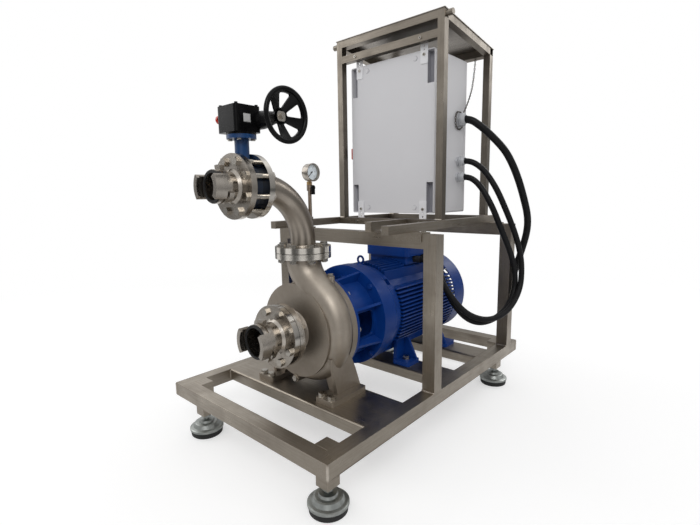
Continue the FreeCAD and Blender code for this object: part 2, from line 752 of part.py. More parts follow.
def support_rails():
    """Two rails on saddles across the portals, and the short prop in the middle."""
    for side in SIDES:
        x0 = min(side * RAIL_OUTER, side * CAGE_HALF)
        add("support_rails", square_tube(x0, x0 + RAIL, RAIL_FRONT_END, RAIL_REAR_END, RAIL_BOTTOM, RAIL_TOP,
                                         RAIL_WALL, "y"))
        for end in (RAIL_FRONT_END, RAIL_REAR_END - RAIL_CAP):
            add("support_rails", rail_cap(x0, end))
        for y in PORTALS:
            centre = side * (RAIL_OUTER - RAIL / 2)
            saddle = box(centre - SADDLE_HALF, centre + SADDLE_HALF, y - SADDLE_SHEET, y + TUBE + SADDLE_SHEET,
                         PORTAL_TOP - SADDLE_DROP, RAIL_BOTTOM)
            saddle = saddle.cut(box(centre - SADDLE_HALF, centre + SADDLE_HALF, y, y + TUBE,
                                    PORTAL_TOP - SADDLE_DROP, PORTAL_TOP))
            for bolt_x, bolt_y in saddle_bolts():
                saddle = saddle.cut(rod(SADDLE_BOLT, V(bolt_x, bolt_y, PORTAL_TOP), Z_AXIS, SADDLE_SHEET))
            add("support_rails", saddle)
    add("support_rails", square_tube(PROP_X, PROP_X + RAIL, PROP_FRONT, CAGE_FRONT, RAIL_BOTTOM, RAIL_TOP,
                                     RAIL_WALL, "y"))
    add("support_rails", rail_cap(PROP_X, PROP_FRONT))
    add("support_rails", box(PROP_X, PROP_X + RAIL, PROP_FRONT, PORTAL_FRONT + TUBE, PORTAL_TOP, RAIL_BOTTOM))
    for x, y in saddle_bolts():
        head = hexagon(BOLT_ACROSS, V(x, y, RAIL_BOTTOM), Z_AXIS, BOLT_HEAD)
        shank = rod(SADDLE_BOLT, V(x, y, RAIL_BOTTOM), -Z_AXIS, SADDLE_SHEET + TUBE_WALL)
        add("frame_bolts", fuse([head, shank]))


def rail_cap(x0, y0):
    """Plate welded flush into the end of a rail."""
    wall = RAIL_WALL
    return box(x0 + wall, x0 + RAIL - wall, y0, y0 + RAIL_CAP, RAIL_BOTTOM + wall, RAIL_TOP - wall)


def sloped_tube(y0, y1, x0, x1, axis):
    """Square tube under the sloping roof line, open along the given axis."""
    def section(inset_y, inset_z):
        a = y0 + inset_y
        b = y1 - inset_y
        return [V(x0, a, roof_line(a) - RAIL + inset_z), V(x0, b, roof_line(b) - RAIL + inset_z),
                V(x0, b, roof_line(b) - inset_z), V(x0, a, roof_line(a) - inset_z)]
    outer = prism(section(0, 0), X_AXIS * (x1 - x0))
    if axis == "x":
        return outer.cut(prism(section(RAIL_WALL, RAIL_WALL), X_AXIS * (x1 - x0)))
    hole = [p + X_AXIS * RAIL_WALL for p in section(0, RAIL_WALL)]
    return outer.cut(prism(hole, X_AXIS * (x1 - x0 - 2 * RAIL_WALL)))


def cage():
    """Open cage round the cabinet with a sloping sheet roof."""
    for y0 in (CAGE_FRONT, CAGE_REAR - RAIL):
        y1 = y0 + RAIL
        for side in SIDES:
            x0 = min(side * CAGE_HALF, side * CAGE_INNER)
            def column(inset, x_from, x_to):
                a = y0 + inset
                b = y1 - inset
                corners = [V(x_from, a, RAIL_BOTTOM), V(x_from, b, RAIL_BOTTOM),
                           V(x_from, b, roof_line(b) - RAIL), V(x_from, a, roof_line(a) - RAIL)]
                return prism(corners, X_AXIS * (x_to - x_from))
            post = column(0, x0, x0 + RAIL).cut(column(RAIL_WALL, x0 + RAIL_WALL, x0 + RAIL - RAIL_WALL))
            add("cage_frame", post)
        add("cage_frame", sloped_tube(y0, y1, -CAGE_HALF, CAGE_HALF, "x"))
        lower = square_tube(-CAGE_INNER, CAGE_INNER, y0, y1, RAIL_BOTTOM, RAIL_TOP, RAIL_WALL, "x")
        if y0 == CAGE_FRONT:
            upper = square_tube(-CAGE_INNER, CAGE_INNER, y0, y1, CABINET_RAIL_TOP - RAIL, CABINET_RAIL_TOP,
                                RAIL_WALL, "x")
            for x, z in rail_screws():
                hole = rod(SCREW_RADIUS, V(x, y0, z), Y_AXIS, RAIL)
                lower = lower.cut(hole)
                upper = upper.cut(hole)
            add("cage_frame", upper)
        add("cage_frame", lower)
    for side in SIDES:
        x0 = min(side * CAGE_HALF, side * CAGE_INNER)
        add("cage_frame", sloped_tube(CAGE_FRONT + RAIL, CAGE_REAR - RAIL, x0, x0 + RAIL, "y"))
        middle = CAGE_FRONT + RAIL / 2
        cap = box(CAGE_HALF, CAGE_HALF + RAIL_WALL, CAGE_FRONT + RAIL_WALL, CAGE_FRONT + RAIL - RAIL_WALL,
                  roof_line(middle) - RAIL + 2 * RAIL_WALL, roof_line(middle) - 2 * RAIL_WALL)
        peg = rod(PEG_RADIUS, V(CAGE_HALF, middle, roof_line(middle) - RAIL / 2), X_AXIS, PEG_LENGTH)
        peg = fuse([cap, peg])
        add("cage_frame", peg if side > 0 else mirrored_x(peg))
    y0 = CAGE_FRONT - ROOF_OVERHANG
    y1 = CAGE_REAR + ROOF_OVERHANG
    x0 = CAGE_HALF + ROOF_OVERHANG
    sheet = [V(-x0, y0, roof_line(y0)), V(-x0, y1, roof_line(y1)),
             V(-x0, y1, roof_line(y1) + ROOF_SHEET), V(-x0, y0, roof_line(y0) + ROOF_SHEET)]
    add("roof_sheet", prism(sheet, X_AXIS * (2 * x0)))


def rail_screws():
    """Places (x, z) of the screws that hold the wall brackets to the cage rails."""
    heights = (CABINET_RAIL_TOP - RAIL / 2, RAIL_BOTTOM + RAIL / 2)
    return [(side * BRACKET_X, z) for side in SIDES for z in heights]


def pump_foot_bolts():
    """Plan positions of the bolts in the two pump feet."""
    return [(side * x, y) for side in SIDES for x, y in PUMP_BOLTS]


def motor_foot_bolts():
    """Plan positions of the bolts in the four motor feet."""
    return [(side * FOOT_HOLE_X, y) for side in SIDES for y in FOOT_HOLES_Y]


def fixing_bolts():
    """Bolts that hold the feet of the pump and of the motor to the cross beams."""
    for places, thick in ((pump_foot_bolts(), PUMP_FOOT_THICK), (motor_foot_bolts(), MOTOR_FOOT_THICK)):
        for x, y in places:
            seat = FRAME_TOP + thick
            washer = rod(FIX_BOLT * 2, V(x, y, seat), Z_AXIS, WASHER)
            head = hexagon(FIX_BOLT * 3, V(x, y, seat + WASHER), Z_AXIS, FIX_BOLT * 1.3)
            low = FRAME_TOP - BEAM_SHEET
            shank = rod(FIX_BOLT, V(x, y, low), Z_AXIS, seat - low)
            nut = hexagon(FIX_BOLT * 3, V(x, y, low), -Z_AXIS, FIX_BOLT * 1.6)
            add("frame_bolts", fuse([washer, head, shank, nut]))


def drilled(solid, places):
    """Solid with the vertical bolt holes that fall inside it."""
    bounds = solid.BoundBox
    for x, y in places:
        if bounds.XMin < x < bounds.XMax and bounds.YMin < y < bounds.YMax:
            solid = solid.cut(rod(FIX_BOLT, V(x, y, bounds.ZMin), Z_AXIS, bounds.ZLength))
    return solid


def rounded_along_y(solid, radius):
    """Box with its four long edges along Y rounded."""
    depth = solid.BoundBox.YLength
    edges = [e for e in solid.Edges if abs(e.BoundBox.YLength - depth) < 0.5 and e.BoundBox.XLength < 0.5]
    return solid.makeFillet(radius, edges)


def hinge_heights():
    """Middle heights of the two door hinges."""
    return (CABINET_BOTTOM + HINGE_SHARE * CABINET_HEIGHT, CABINET_TOP - HINGE_SHARE * CABINET_HEIGHT)


def lock_heights():
    """Heights of the two door locks."""
    return (CABINET_BOTTOM + LOCK_HEIGHT_SHARE * CABINET_HEIGHT, CABINET_TOP - LOCK_HEIGHT_SHARE * CABINET_HEIGHT)


def cabinet_body():
    """Moulded body, open towards the door, with a lip for the locks and four corner pockets."""
    body = rounded_along_y(box(-CABINET_HALF, CABINET_HALF, CABINET_BACK, CABINET_JOINT, CABINET_BOTTOM, CABINET_TOP),
                           CABINET_EDGE_RADIUS)
    wall = CABINET_WALL
    room = rounded_along_y(box(-CABINET_HALF + wall, CABINET_HALF - wall, CABINET_BACK + wall,
                               CABINET_JOINT - LIP_THICK, CABINET_BOTTOM + wall, CABINET_TOP - wall),
                           CABINET_EDGE_RADIUS - wall)
    inset = wall + LIP_WIDTH
    mouth = box(-CABINET_HALF + inset, CABINET_HALF - inset, CABINET_JOINT - LIP_THICK, CABINET_JOINT,
                CABINET_BOTTOM + inset, CABINET_TOP - inset)
    shell = body.cut(room.fuse(mouth))
    edge = CABINET_HALF - CORNER_SLOT_INSET
    for side in SIDES:
        for z0 in (CABINET_BOTTOM + CORNER_SLOT_INSET, CABINET_TOP - CORNER_SLOT_INSET - CORNER_SLOT_HEIGHT):
            x0 = min(side * edge, side * (edge - CORNER_SLOT_WIDTH))
            pocket = (x0, x0 + CORNER_SLOT_WIDTH, z0, z0 + CORNER_SLOT_HEIGHT)
            liner = box(pocket[0] - POCKET_WALL, pocket[1] + POCKET_WALL, CABINET_BACK,
                        CABINET_BACK + CORNER_SLOT_DEPTH + POCKET_WALL, pocket[2] - POCKET_WALL,
                        pocket[3] + POCKET_WALL).common(body)
            shell = shell.fuse(liner)
            shell = shell.cut(box(pocket[0], pocket[1], CABINET_BACK, CABINET_BACK + CORNER_SLOT_DEPTH,
                                  pocket[2], pocket[3]))
    axis_x = -(CABINET_HALF + HINGE_OFFSET)
    axis_y = CABINET_JOINT + DOOR_GAP / 2
    for z in hinge_heights():
        for end in SIDES:
            z0 = z + end * (HINGE_LENGTH / 2 + HINGE_KNUCKLE / 2) - HINGE_KNUCKLE / 2
            lug = fuse([rod(HINGE_LUG_RADIUS, V(axis_x, axis_y, z0), Z_AXIS, HINGE_KNUCKLE),
                        box(axis_x, -CABINET_HALF, axis_y - HINGE_LUG_RADIUS, axis_y - DOOR_GAP / 2,
                            z0, z0 + HINGE_KNUCKLE)])
            shell = shell.fuse(lug)
        length = HINGE_LENGTH + 2 * HINGE_KNUCKLE
        shell = shell.fuse(rod(HINGE_PIN_RADIUS, V(axis_x, axis_y, z - length / 2), Z_AXIS, length))
    for y, z, radius in wall_holes():
        shell = shell.cut(rod(radius, V(CABINET_HALF - wall, y, z), X_AXIS, wall))
    shell = shell.cut(rod(SWITCH_HOLE, V(-CABINET_HALF, SWITCH_Y, SWITCH_HEIGHT), X_AXIS, wall))
    for x, z in bracket_screws():
        shell = shell.cut(rod(SCREW_RADIUS, V(x, CABINET_BACK, z), Y_AXIS, wall))
    add("cabinet_body", shell.removeSplitter())
    for side in SIDES:
        for z in (CABINET_BOTTOM + BACK_PLUG_INSET, CABINET_TOP - BACK_PLUG_INSET):
            add("cabinet_body", rod(BACK_PLUG_RADIUS, V(side * BACK_PLUG_X, CABINET_BACK, z), -Y_AXIS, BACK_PLUG))


def bracket_screws():
    """Places (x, z) of the screws that hold the brackets to the cabinet."""
    heights = (CABINET_TOP - CABINET_SCREW_DROP, CABINET_BOTTOM + CABINET_SCREW_DROP)
    return [(side * BRACKET_X, z) for side in SIDES for z in heights]


def wall_brackets():
    """Four drilled straps between the cage rails and the back of the cabinet, with their screws."""
    half = BRACKET_WIDTH / 2
    spans = ((RAIL_BOTTOM, CABINET_BOTTOM + BRACKET_OVERLAP), (CABINET_TOP - BRACKET_OVERLAP, CABINET_RAIL_TOP))
    y0 = CAGE_FRONT + RAIL
    for side in SIDES:
        x = side * BRACKET_X
        for z0, z1 in spans:
            strap = box(x - half, x + half, y0, CABINET_BACK, z0, z1)
            ends = [e for e in strap.Edges if e.BoundBox.YLength > BRACKET_SHEET / 2]
            strap = strap.makeFillet(BRACKET_CORNER, ends)
            middle = (z0 + z1) / 2
            for step in (-1, 0, 1):
                strap = strap.cut(rod(BRACKET_HOLE, V(x, y0, middle + step * BRACKET_HOLE_PITCH), Y_AXIS, BRACKET_SHEET))
            for screw_x, screw_z in rail_screws() + bracket_screws():
                if abs(screw_x - x) < half and z0 < screw_z < z1:
                    strap = strap.cut(rod(SCREW_RADIUS, V(screw_x, y0, screw_z), Y_AXIS, BRACKET_SHEET))
            add("wall_brackets", strap)
    for x, z in rail_screws():
        head = rod(SCREW_HEAD_RADIUS, V(x, CAGE_FRONT, z), -Y_AXIS, SCREW_HEAD)
        add("frame_bolts", fuse([head, rod(SCREW_RADIUS, V(x, CAGE_FRONT, z), Y_AXIS, RAIL + BRACKET_SHEET)]))
    for x, z in bracket_screws():
        head = rod(SCREW_HEAD_RADIUS, V(x, y0, z), -Y_AXIS, SCREW_HEAD)
        add("frame_bolts", fuse([head, rod(SCREW_RADIUS, V(x, y0, z), Y_AXIS, BRACKET_SHEET + CABINET_WALL)]))


def cabinet_door():
    """Tray shaped door with hinge knuckles on its left edge and two lock holes."""
    y0 = CABINET_JOINT + DOOR_GAP
    y1 = y0 + DOOR_THICKNESS
    door = rounded_along_y(box(-CABINET_HALF, CABINET_HALF, y0, y1, CABINET_BOTTOM, CABINET_TOP), CABINET_EDGE_RADIUS)
    wall = DOOR_WALL
    door = door.cut(box(-CABINET_HALF + wall, CABINET_HALF - wall, y0, y1 - wall,
                        CABINET_BOTTOM + wall, CABINET_TOP - wall))
    for z in lock_heights():
        place = V(CABINET_HALF - LOCK_INSET, y1 - wall, z)
        door = door.cut(rod(LOCK_RADIUS + RUN_CLEAR, place, Y_AXIS, wall))
    axis_x = -(CABINET_HALF + HINGE_OFFSET)
    axis_y = CABINET_JOINT + DOOR_GAP / 2
    half = HINGE_LENGTH / 2 - BODY_GAP
    for z in hinge_heights():
        barrel = rod(HINGE_LUG_RADIUS, V(axis_x, axis_y, z - half), Z_AXIS, 2 * half)
        arm = box(axis_x, -CABINET_HALF, y0, y0 + HINGE_LUG_RADIUS, z - half, z + half)
        bore = rod(HINGE_PIN_RADIUS + RUN_CLEAR, V(axis_x, axis_y, z - half), Z_AXIS, 2 * half)
        door = door.fuse(fuse([barrel, arm]).cut(bore))
    add("cabinet_door", door.removeSplitter())
    for name, z in zip(("door_lock_lower", "door_lock_upper"), lock_heights()):
        x = CABINET_HALF - LOCK_INSET
        head = rod(LOCK_RADIUS + LOCK_RIM, V(x, y1, z), Y_AXIS, LOCK_HEAD)
        head = head.cut(box(x - LOCK_KEY / 2, x + LOCK_KEY / 2, y1 + LOCK_HEAD / 2, y1 + LOCK_HEAD,
                            z - LOCK_RADIUS * 0.6, z + LOCK_RADIUS * 0.6))
        barrel = rod(LOCK_RADIUS, V(x, y1 - wall, z), Y_AXIS, wall)
        cam_y = CABINET_JOINT - LIP_THICK - BODY_GAP - CAM_THICK
        stem = rod(LOCK_STEM, V(x, cam_y, z), Y_AXIS, y1 - wall - cam_y)
        cam = box(x - CAM_HALF, x + CAM_HALF, cam_y, cam_y + CAM_THICK, z - CAM_HALF, z + CAM_REACH)
        add(name, fuse([head, barrel, stem, cam]))


def control_gear():
    """Mounting plate with rails, contactors, starter, terminals and the isolator body."""
    back = CABINET_BACK + CABINET_WALL
    plate_y = back + PLATE_STANDOFF
    front = plate_y + PLATE_SHEET
    plate = box(-PLATE_HALF, PLATE_HALF, plate_y, front, CABINET_BOTTOM + PLATE_MARGIN, CABINET_TOP - PLATE_MARGIN)
    posts = [rod(POST_RADIUS, V(x * (PLATE_HALF - POST_INSET), back, z), Y_AXIS, PLATE_STANDOFF)
             for x in SIDES for z in (CABINET_BOTTOM + PLATE_MARGIN + POST_INSET,
                                      CABINET_TOP - PLATE_MARGIN - POST_INSET)]
    add("control_gear", fuse([plate] + posts))
    for x0, width, z0, height, depth in GEAR_BLOCKS:
        add("control_gear", box(x0, x0 + width, front, front + depth, z0, z0 + height))
    bore = rod(SWITCH_SHAFT + RUN_CLEAR, V(-CABINET_HALF, SWITCH_Y, SWITCH_HEIGHT), X_AXIS, CABINET_HALF)
    x0 = -CABINET_HALF + CABINET_WALL + HIDDEN_GAP
    half = SWITCH_SIZE / 2
    low = SWITCH_HEIGHT - half
    high = SWITCH_HEIGHT + half
    x1 = x0 + ISOLATOR_DEPTH
    isolator = fuse([box(x0, x1, SWITCH_Y - half, SWITCH_Y + half, low, high),
                     box(x1, x1 + ISOLATOR_DEPTH, front, SWITCH_Y + half, low, high)])
    add("control_gear", isolator.cut(bore))


def main_switch():
    """Rotary switch on the side wall: fixed base and the handle that turns a quarter."""
    half = SWITCH_SIZE / 2
    x1 = -CABINET_HALF
    x0 = x1 - SWITCH_BASE
    base = box(x0, x1, SWITCH_Y - half, SWITCH_Y + half, SWITCH_HEIGHT - half, SWITCH_HEIGHT + half)
    base = base.makeFillet(SWITCH_CORNER, [e for e in base.Edges if e.BoundBox.XLength > SWITCH_BASE / 2])
    centre = V(x0, SWITCH_Y, SWITCH_HEIGHT)
    add("switch_base", base.cut(rod(SWITCH_SHAFT + RUN_CLEAR, centre, X_AXIS, SWITCH_BASE)))
    hub = rod(SWITCH_HUB, centre - X_AXIS * BODY_GAP, -X_AXIS, SWITCH_HUB_LENGTH)
    top = x0 - BODY_GAP - SWITCH_HUB_LENGTH
    bar = box(top - SWITCH_BAR, top, SWITCH_Y - SWITCH_BAR_HALF, SWITCH_Y + SWITCH_BAR_HALF,
              SWITCH_HEIGHT - SWITCH_BAR_LENGTH / 2, SWITCH_HEIGHT + SWITCH_BAR_LENGTH / 2)
    bar = bar.makeFillet(SWITCH_BAR_HALF * 0.6, [e for e in bar.Edges if e.BoundBox.XLength > SWITCH_BAR / 2])
    shaft = rod(SWITCH_SHAFT, centre - X_AXIS * BODY_GAP, X_AXIS, SWITCH_BASE + SWITCH_REACH)
    add("switch_handle", fuse([hub, bar, shaft]))


def wall_holes():
    """Place (y, z) and radius of each cable hole in the right wall of the cabinet."""
    holes = [(GLAND_Y, SUPPLY_GLAND_Z, SUPPLY_GLAND_RADIUS * SPIGOT_SHARE)]
    for z in MOTOR_GLAND_Z:
        holes.append((GLAND_Y, z, MOTOR_GLAND_RADIUS * SPIGOT_SHARE))
    return holes


def gland(face, axis, radius, cable, wall):
    """Cable gland: spigot and lock nut inside, hexagon, cap nut and a dome that ends at the cable."""
    across = radius * math.sqrt(3)
    base = GLAND_LENGTH * 0.28
    cap = GLAND_LENGTH * 0.36
    dome = GLAND_LENGTH - base - cap - GLAND_GROOVE
    pieces = [rod(radius * SPIGOT_SHARE, face, -axis, wall + GLAND_NUT),
              hexagon(across, face - axis * wall, -axis, GLAND_NUT),
              hexagon(across, face, axis, base),
              rod(radius * SPIGOT_SHARE, face + axis * base, axis, GLAND_GROOVE),
              hexagon(across, face + axis * (base + GLAND_GROOVE), axis, cap),
              taper(radius * 0.9, cable + DOME_RIM_WALL, face + axis * (base + GLAND_GROOVE + cap), axis, dome)]
    bore = rod(cable + RUN_CLEAR, face + axis * (GLAND_LENGTH - GLAND_BORE), axis, GLAND_BORE)
    return fuse(pieces).cut(bore)


def cable_glands():
    """Three glands on the cabinet and two on the terminal box."""
    add("cabinet_glands", gland(V(CABINET_HALF, GLAND_Y, SUPPLY_GLAND_Z), X_AXIS, SUPPLY_GLAND_RADIUS,
                                SUPPLY_CABLE_RADIUS, CABINET_WALL))
    for z in MOTOR_GLAND_Z:
        add("cabinet_glands", gland(V(CABINET_HALF, GLAND_Y, z), X_AXIS, MOTOR_GLAND_RADIUS,
                                    MOTOR_CABLE_RADIUS, CABINET_WALL))
    for y in BOX_GLAND_Y:
        add("terminal_glands", gland(V(BOX_HALF_WIDTH, y, BOX_GLAND_Z), X_AXIS, BOX_GLAND_RADIUS,
                                     MOTOR_CABLE_RADIUS, BOX_WALL))


def volute_section(radius, centre_u, centre_w, tangent_angle):
    """Circle of the volute: centre given in the plane of the scroll, normal along the flow."""
    angle = math.radians(tangent_angle)
    normal = V(math.cos(angle), 0, math.sin(angle))
    centre = V(centre_u, DISCHARGE_Y, SHAFT_Z + centre_w)
    return Part.Wire(Part.makeCircle(radius, centre, normal))


def volute_loft(inset, first_step):
    """Scroll that grows along its turn and bends up into the discharge neck."""
    sections = []
    for k in range(first_step, VOLUTE_STEPS + 1):
        share = k / VOLUTE_STEPS
        angle = VOLUTE_START_ANGLE + VOLUTE_SWEEP * share
        tube = VOLUTE_START_RADIUS + (VOLUTE_END_RADIUS - VOLUTE_START_RADIUS) * share
        outer = VOLUTE_START_OUTER + (VOLUTE_END_OUTER - VOLUTE_START_OUTER) * share
        reach = outer - tube
        u = reach * math.cos(math.radians(angle))
        w = reach * math.sin(math.radians(angle))
        sections.append(volute_section(tube - inset, u, w, angle + 90))
    for u, w, tube, tangent in NECK_STATIONS:
        sections.append(volute_section(tube - inset, u, w, tangent))
    return Part.makeLoft(sections, True, False)


def pump_casing():
    """Volute casing with suction and discharge flanges, bolting flange and two bracket feet."""
    centre = V(0, 0, SHAFT_Z)
    suction_face = DISCHARGE_Y - SUCTION_REACH
    joint = (CASING_FLANGE_FRONT + CASING_FLANGE_REAR) / 2
    front = CASING_FRONT
    neck = SUCTION_BORE_RADIUS + CASING_WALL + 2
    outline = [(0, suction_face), (SUCTION_FLANGE_RADIUS, suction_face),
               (SUCTION_FLANGE_RADIUS, suction_face + SUCTION_FLANGE_THICK),
               (neck + 6, suction_face + SUCTION_FLANGE_THICK), (neck, suction_face + SUCTION_FLANGE_THICK + 6),
               (neck + 3, front - 12), (neck + 14, front - 2), (CASING_STEP_RADIUS, front),
               (CASING_STEP_RADIUS, front + 12), (CASING_DRUM_RADIUS + 6, front + 16),
               (CASING_DRUM_RADIUS + 6, CASING_FLANGE_FRONT), (CASING_FLANGE_RADIUS, CASING_FLANGE_FRONT),
               (CASING_FLANGE_RADIUS, joint), (0, joint)]
    body = revolve_profile(outline, centre, Y_AXIS)
    top = SHAFT_Z + DISCHARGE_RISE
    flange = rod(DISCHARGE_FLANGE_RADIUS, V(0, DISCHARGE_Y, top), -Z_AXIS, DISCHARGE_FLANGE_THICK)
    scroll = volute_loft(0.0, 0)
    outside = fuse([body, scroll, flange] + [pump_foot(side) for side in SIDES] + casing_bosses())
    mouth = SUCTION_BORE_RADIUS
    cavity = [(0, suction_face), (mouth, suction_face), (mouth, front - 3), (IMPELLER_EYE_OUTER + HIDDEN_GAP, front - 3),
              (IMPELLER_EYE_OUTER + HIDDEN_GAP, front + CASING_WALL), (CAVITY_RADIUS, front + CASING_WALL + 14),
              (CAVITY_RADIUS, joint), (0, joint)]
    hollow = revolve_profile(cavity, centre, Y_AXIS)
    outside = outside.cut(hollow).cut(volute_loft(CASING_WALL, 1))
    for u, w in on_circle(8, SUCTION_BOLT_CIRCLE, 22.5):
        place = V(u, suction_face, SHAFT_Z + w)
        outside = outside.cut(rod(FLANGE_BOLT, place, Y_AXIS, SUCTION_FLANGE_THICK))
    for u, w in on_circle(8, DISCHARGE_BOLT_CIRCLE, 22.5):
        outside = outside.cut(rod(FLANGE_BOLT, V(u, DISCHARGE_Y + w, top), -Z_AXIS, DISCHARGE_FLANGE_THICK))
    for u, w in casing_bolts():
        place = V(u, CASING_FLANGE_FRONT, SHAFT_Z + w)
        outside = outside.cut(rod(CASING_BOLT, place, Y_AXIS, joint - CASING_FLANGE_FRONT))
    outside = outside.cut(rod(PLUG_SHANK, V(0, DRAIN_Y, DRAIN_Z), Y_AXIS, PLUG_DEPTH))
    outside = outside.cut(rod(PLUG_SHANK, V(VENT_X, VENT_Y, VENT_Z), -Z_AXIS, PLUG_DEPTH))
    add("volute_casing", largest(outside))


def largest(shape):
    """The one main solid of a boolean result."""
    return max(shape.Solids, key=lambda solid: solid.Volume)


def casing_bolts():
    """Pairs (u, w) round the shaft of the bolts through casing, cover and lantern."""
    return on_circle(8, CASING_BOLT_CIRCLE)


def casing_bosses():
    """Bosses of the drain plug and of the vent plug on the front of the casing."""
    return [rod(PLUG_BOSS, V(0, DRAIN_Y, DRAIN_Z), Y_AXIS, -DRAIN_Y + DISCHARGE_Y),
            rod(PLUG_BOSS, V(VENT_X, VENT_Y, VENT_Z), -Z_AXIS, VENT_BOSS)]


def pump_foot(side):
    """Foot plate with a side plate and a cross web that reach up to the scroll."""
    high = FRAME_TOP + PUMP_FOOT_THICK
    plate = box(PUMP_FOOT_INNER, PUMP_FOOT_OUTER, PUMP_FOOT_FRONT, PUMP_FOOT_REAR, FRAME_TOP, high)
    plate = plate.makeFillet(FOOT_CORNER, [e for e in plate.Edges if e.BoundBox.ZLength > 1])
    plate = drilled(plate, pump_foot_bolts())
    y = DISCHARGE_Y - FOOT_WEB / 2
    web = prism([V(FOOT_SIDE_X + 1, y, high), V(PUMP_FOOT_INNER + 4, y, high), V(FOOT_WEB_IN, y, FOOT_WEB_LOW),
                 V(FOOT_WEB_IN, y, FOOT_WEB_TOP), V(FOOT_SIDE_X + 1, y, FOOT_WEB_TOP - 20)], Y_AXIS * FOOT_WEB)
    outer = prism([V(FOOT_SIDE_X, plate_y, z) for plate_y, z in FOOT_SIDE], X_AXIS * FOOT_WEB)
    joint = (CASING_FLANGE_FRONT + CASING_FLANGE_REAR) / 2
    room = rod(CASING_FLANGE_RADIUS + 2, V(0, joint, SHAFT_Z), Y_AXIS, PUMP_FOOT_REAR - joint)
    foot = fuse([plate, web, outer.cut(room)])
    return foot if side > 0 else mirrored_x(foot)


def casing_cover():
    """Rear cover with the chamber of the shaft seal."""
    joint = (CASING_FLANGE_FRONT + CASING_FLANGE_REAR) / 2
    face = joint - COVER_REGISTER
    rear = LANTERN_RING_REAR
    outline = [(SEAL_CHAMBER, face), (CAVITY_RADIUS - RUN_CLEAR, face), (CAVITY_RADIUS - RUN_CLEAR, joint),
               (CASING_FLANGE_RADIUS, joint), (CASING_FLANGE_RADIUS, CASING_FLANGE_REAR),
               (COVER_HUB_RADIUS, CASING_FLANGE_REAR), (COVER_HUB_RADIUS, rear),
               (SHAFT_RADIUS + HIDDEN_GAP, rear), (SHAFT_RADIUS + HIDDEN_GAP, SEAL_WALL_Y), (SEAL_CHAMBER, SEAL_WALL_Y)]
    cover = revolve_profile(outline, V(0, 0, SHAFT_Z), Y_AXIS)
    for u, w in casing_bolts():
        cover = cover.cut(rod(CASING_BOLT, V(u, joint, SHAFT_Z + w), Y_AXIS, CASING_FLANGE_REAR - joint))
    add("casing_cover", cover)
    seat = V(0, SEAL_WALL_Y - SEAL_SEAT, SHAFT_Z)
    add("seal_seat", ring(SEAL_CHAMBER, SHAFT_RADIUS + HIDDEN_GAP, seat, Y_AXIS, SEAL_SEAT))
    start = V(0, SEAL_WALL_Y - SEAL_SEAT - RUN_CLEAR - SEAL_LENGTH, SHAFT_Z)
    collar = ring(SEAL_RADIUS, SHAFT_RADIUS, start, Y_AXIS, SEAL_LENGTH)
    groove = ring(SEAL_RADIUS, SEAL_RADIUS - 4, start + Y_AXIS * 8, Y_AXIS, SEAL_LENGTH - 16)
    add("seal_ring", collar.cut(groove))


def impeller():
    """Closed impeller: hub, two shrouds and curved vanes between them."""
    centre = V(0, 0, SHAFT_Z)
    rear = DISCHARGE_Y + IMPELLER_WIDTH / 2
    front = DISCHARGE_Y - IMPELLER_WIDTH / 2
    thick = IMPELLER_SHROUD
    back = revolve_profile([(SHAFT_RADIUS, front + 2), (HUB_NOSE, front + 2), (HUB_RADIUS, rear - 6),
                            (HUB_RADIUS + 14, rear), (IMPELLER_RADIUS, rear), (IMPELLER_RADIUS, rear + thick),
                            (HUB_RADIUS, rear + thick), (HUB_RADIUS, IMPELLER_HUB_REAR),
                            (SHAFT_RADIUS, IMPELLER_HUB_REAR)], centre, Y_AXIS)
    eye = IMPELLER_EYE_RADIUS
    cheek = revolve_profile([(eye, CASING_FRONT + HIDDEN_GAP), (IMPELLER_EYE_OUTER, CASING_FRONT + HIDDEN_GAP),
                             (IMPELLER_EYE_OUTER, front - thick - 6), (IMPELLER_EYE_OUTER + 8, front - thick),
                             (IMPELLER_RADIUS, front - thick), (IMPELLER_RADIUS, front), (eye + 4, front),
                             (eye, front - 4)], centre, Y_AXIS)
    vanes = []
    for k in range(VANE_COUNT):
        outer_side = []
        inner_side = []
        for j in range(VANE_POINTS):
            share = j / (VANE_POINTS - 1)
            radius = VANE_ROOT + (IMPELLER_RADIUS - 1 - VANE_ROOT) * share
            angle = math.radians(360.0 * k / VANE_COUNT - VANE_WRAP * share)
            along = V(math.cos(angle), 0, math.sin(angle))
            half = VANE_THICK / 2
            base = V(0, front - 1, SHAFT_Z)
            sweep = math.radians(VANE_LEAN)
            normal = V(math.cos(angle + sweep), 0, math.sin(angle + sweep))
            outer_side.append(base + along * radius + normal * half)
            inner_side.append(base + along * radius - normal * half)
        vanes.append(prism(outer_side + inner_side[::-1], Y_AXIS * (rear - front + 2)))
    limit = rod(IMPELLER_RADIUS, V(0, front - 1, SHAFT_Z), Y_AXIS, rear - front + 2)
    vanes = [vane.common(limit) for vane in vanes]
    add("impeller", fuse([back, cheek] + vanes))
    nut = hexagon(IMPELLER_NUT, V(0, front + 2 - NUT_LENGTH, SHAFT_Z), Y_AXIS, NUT_LENGTH)
    add("impeller", nut)


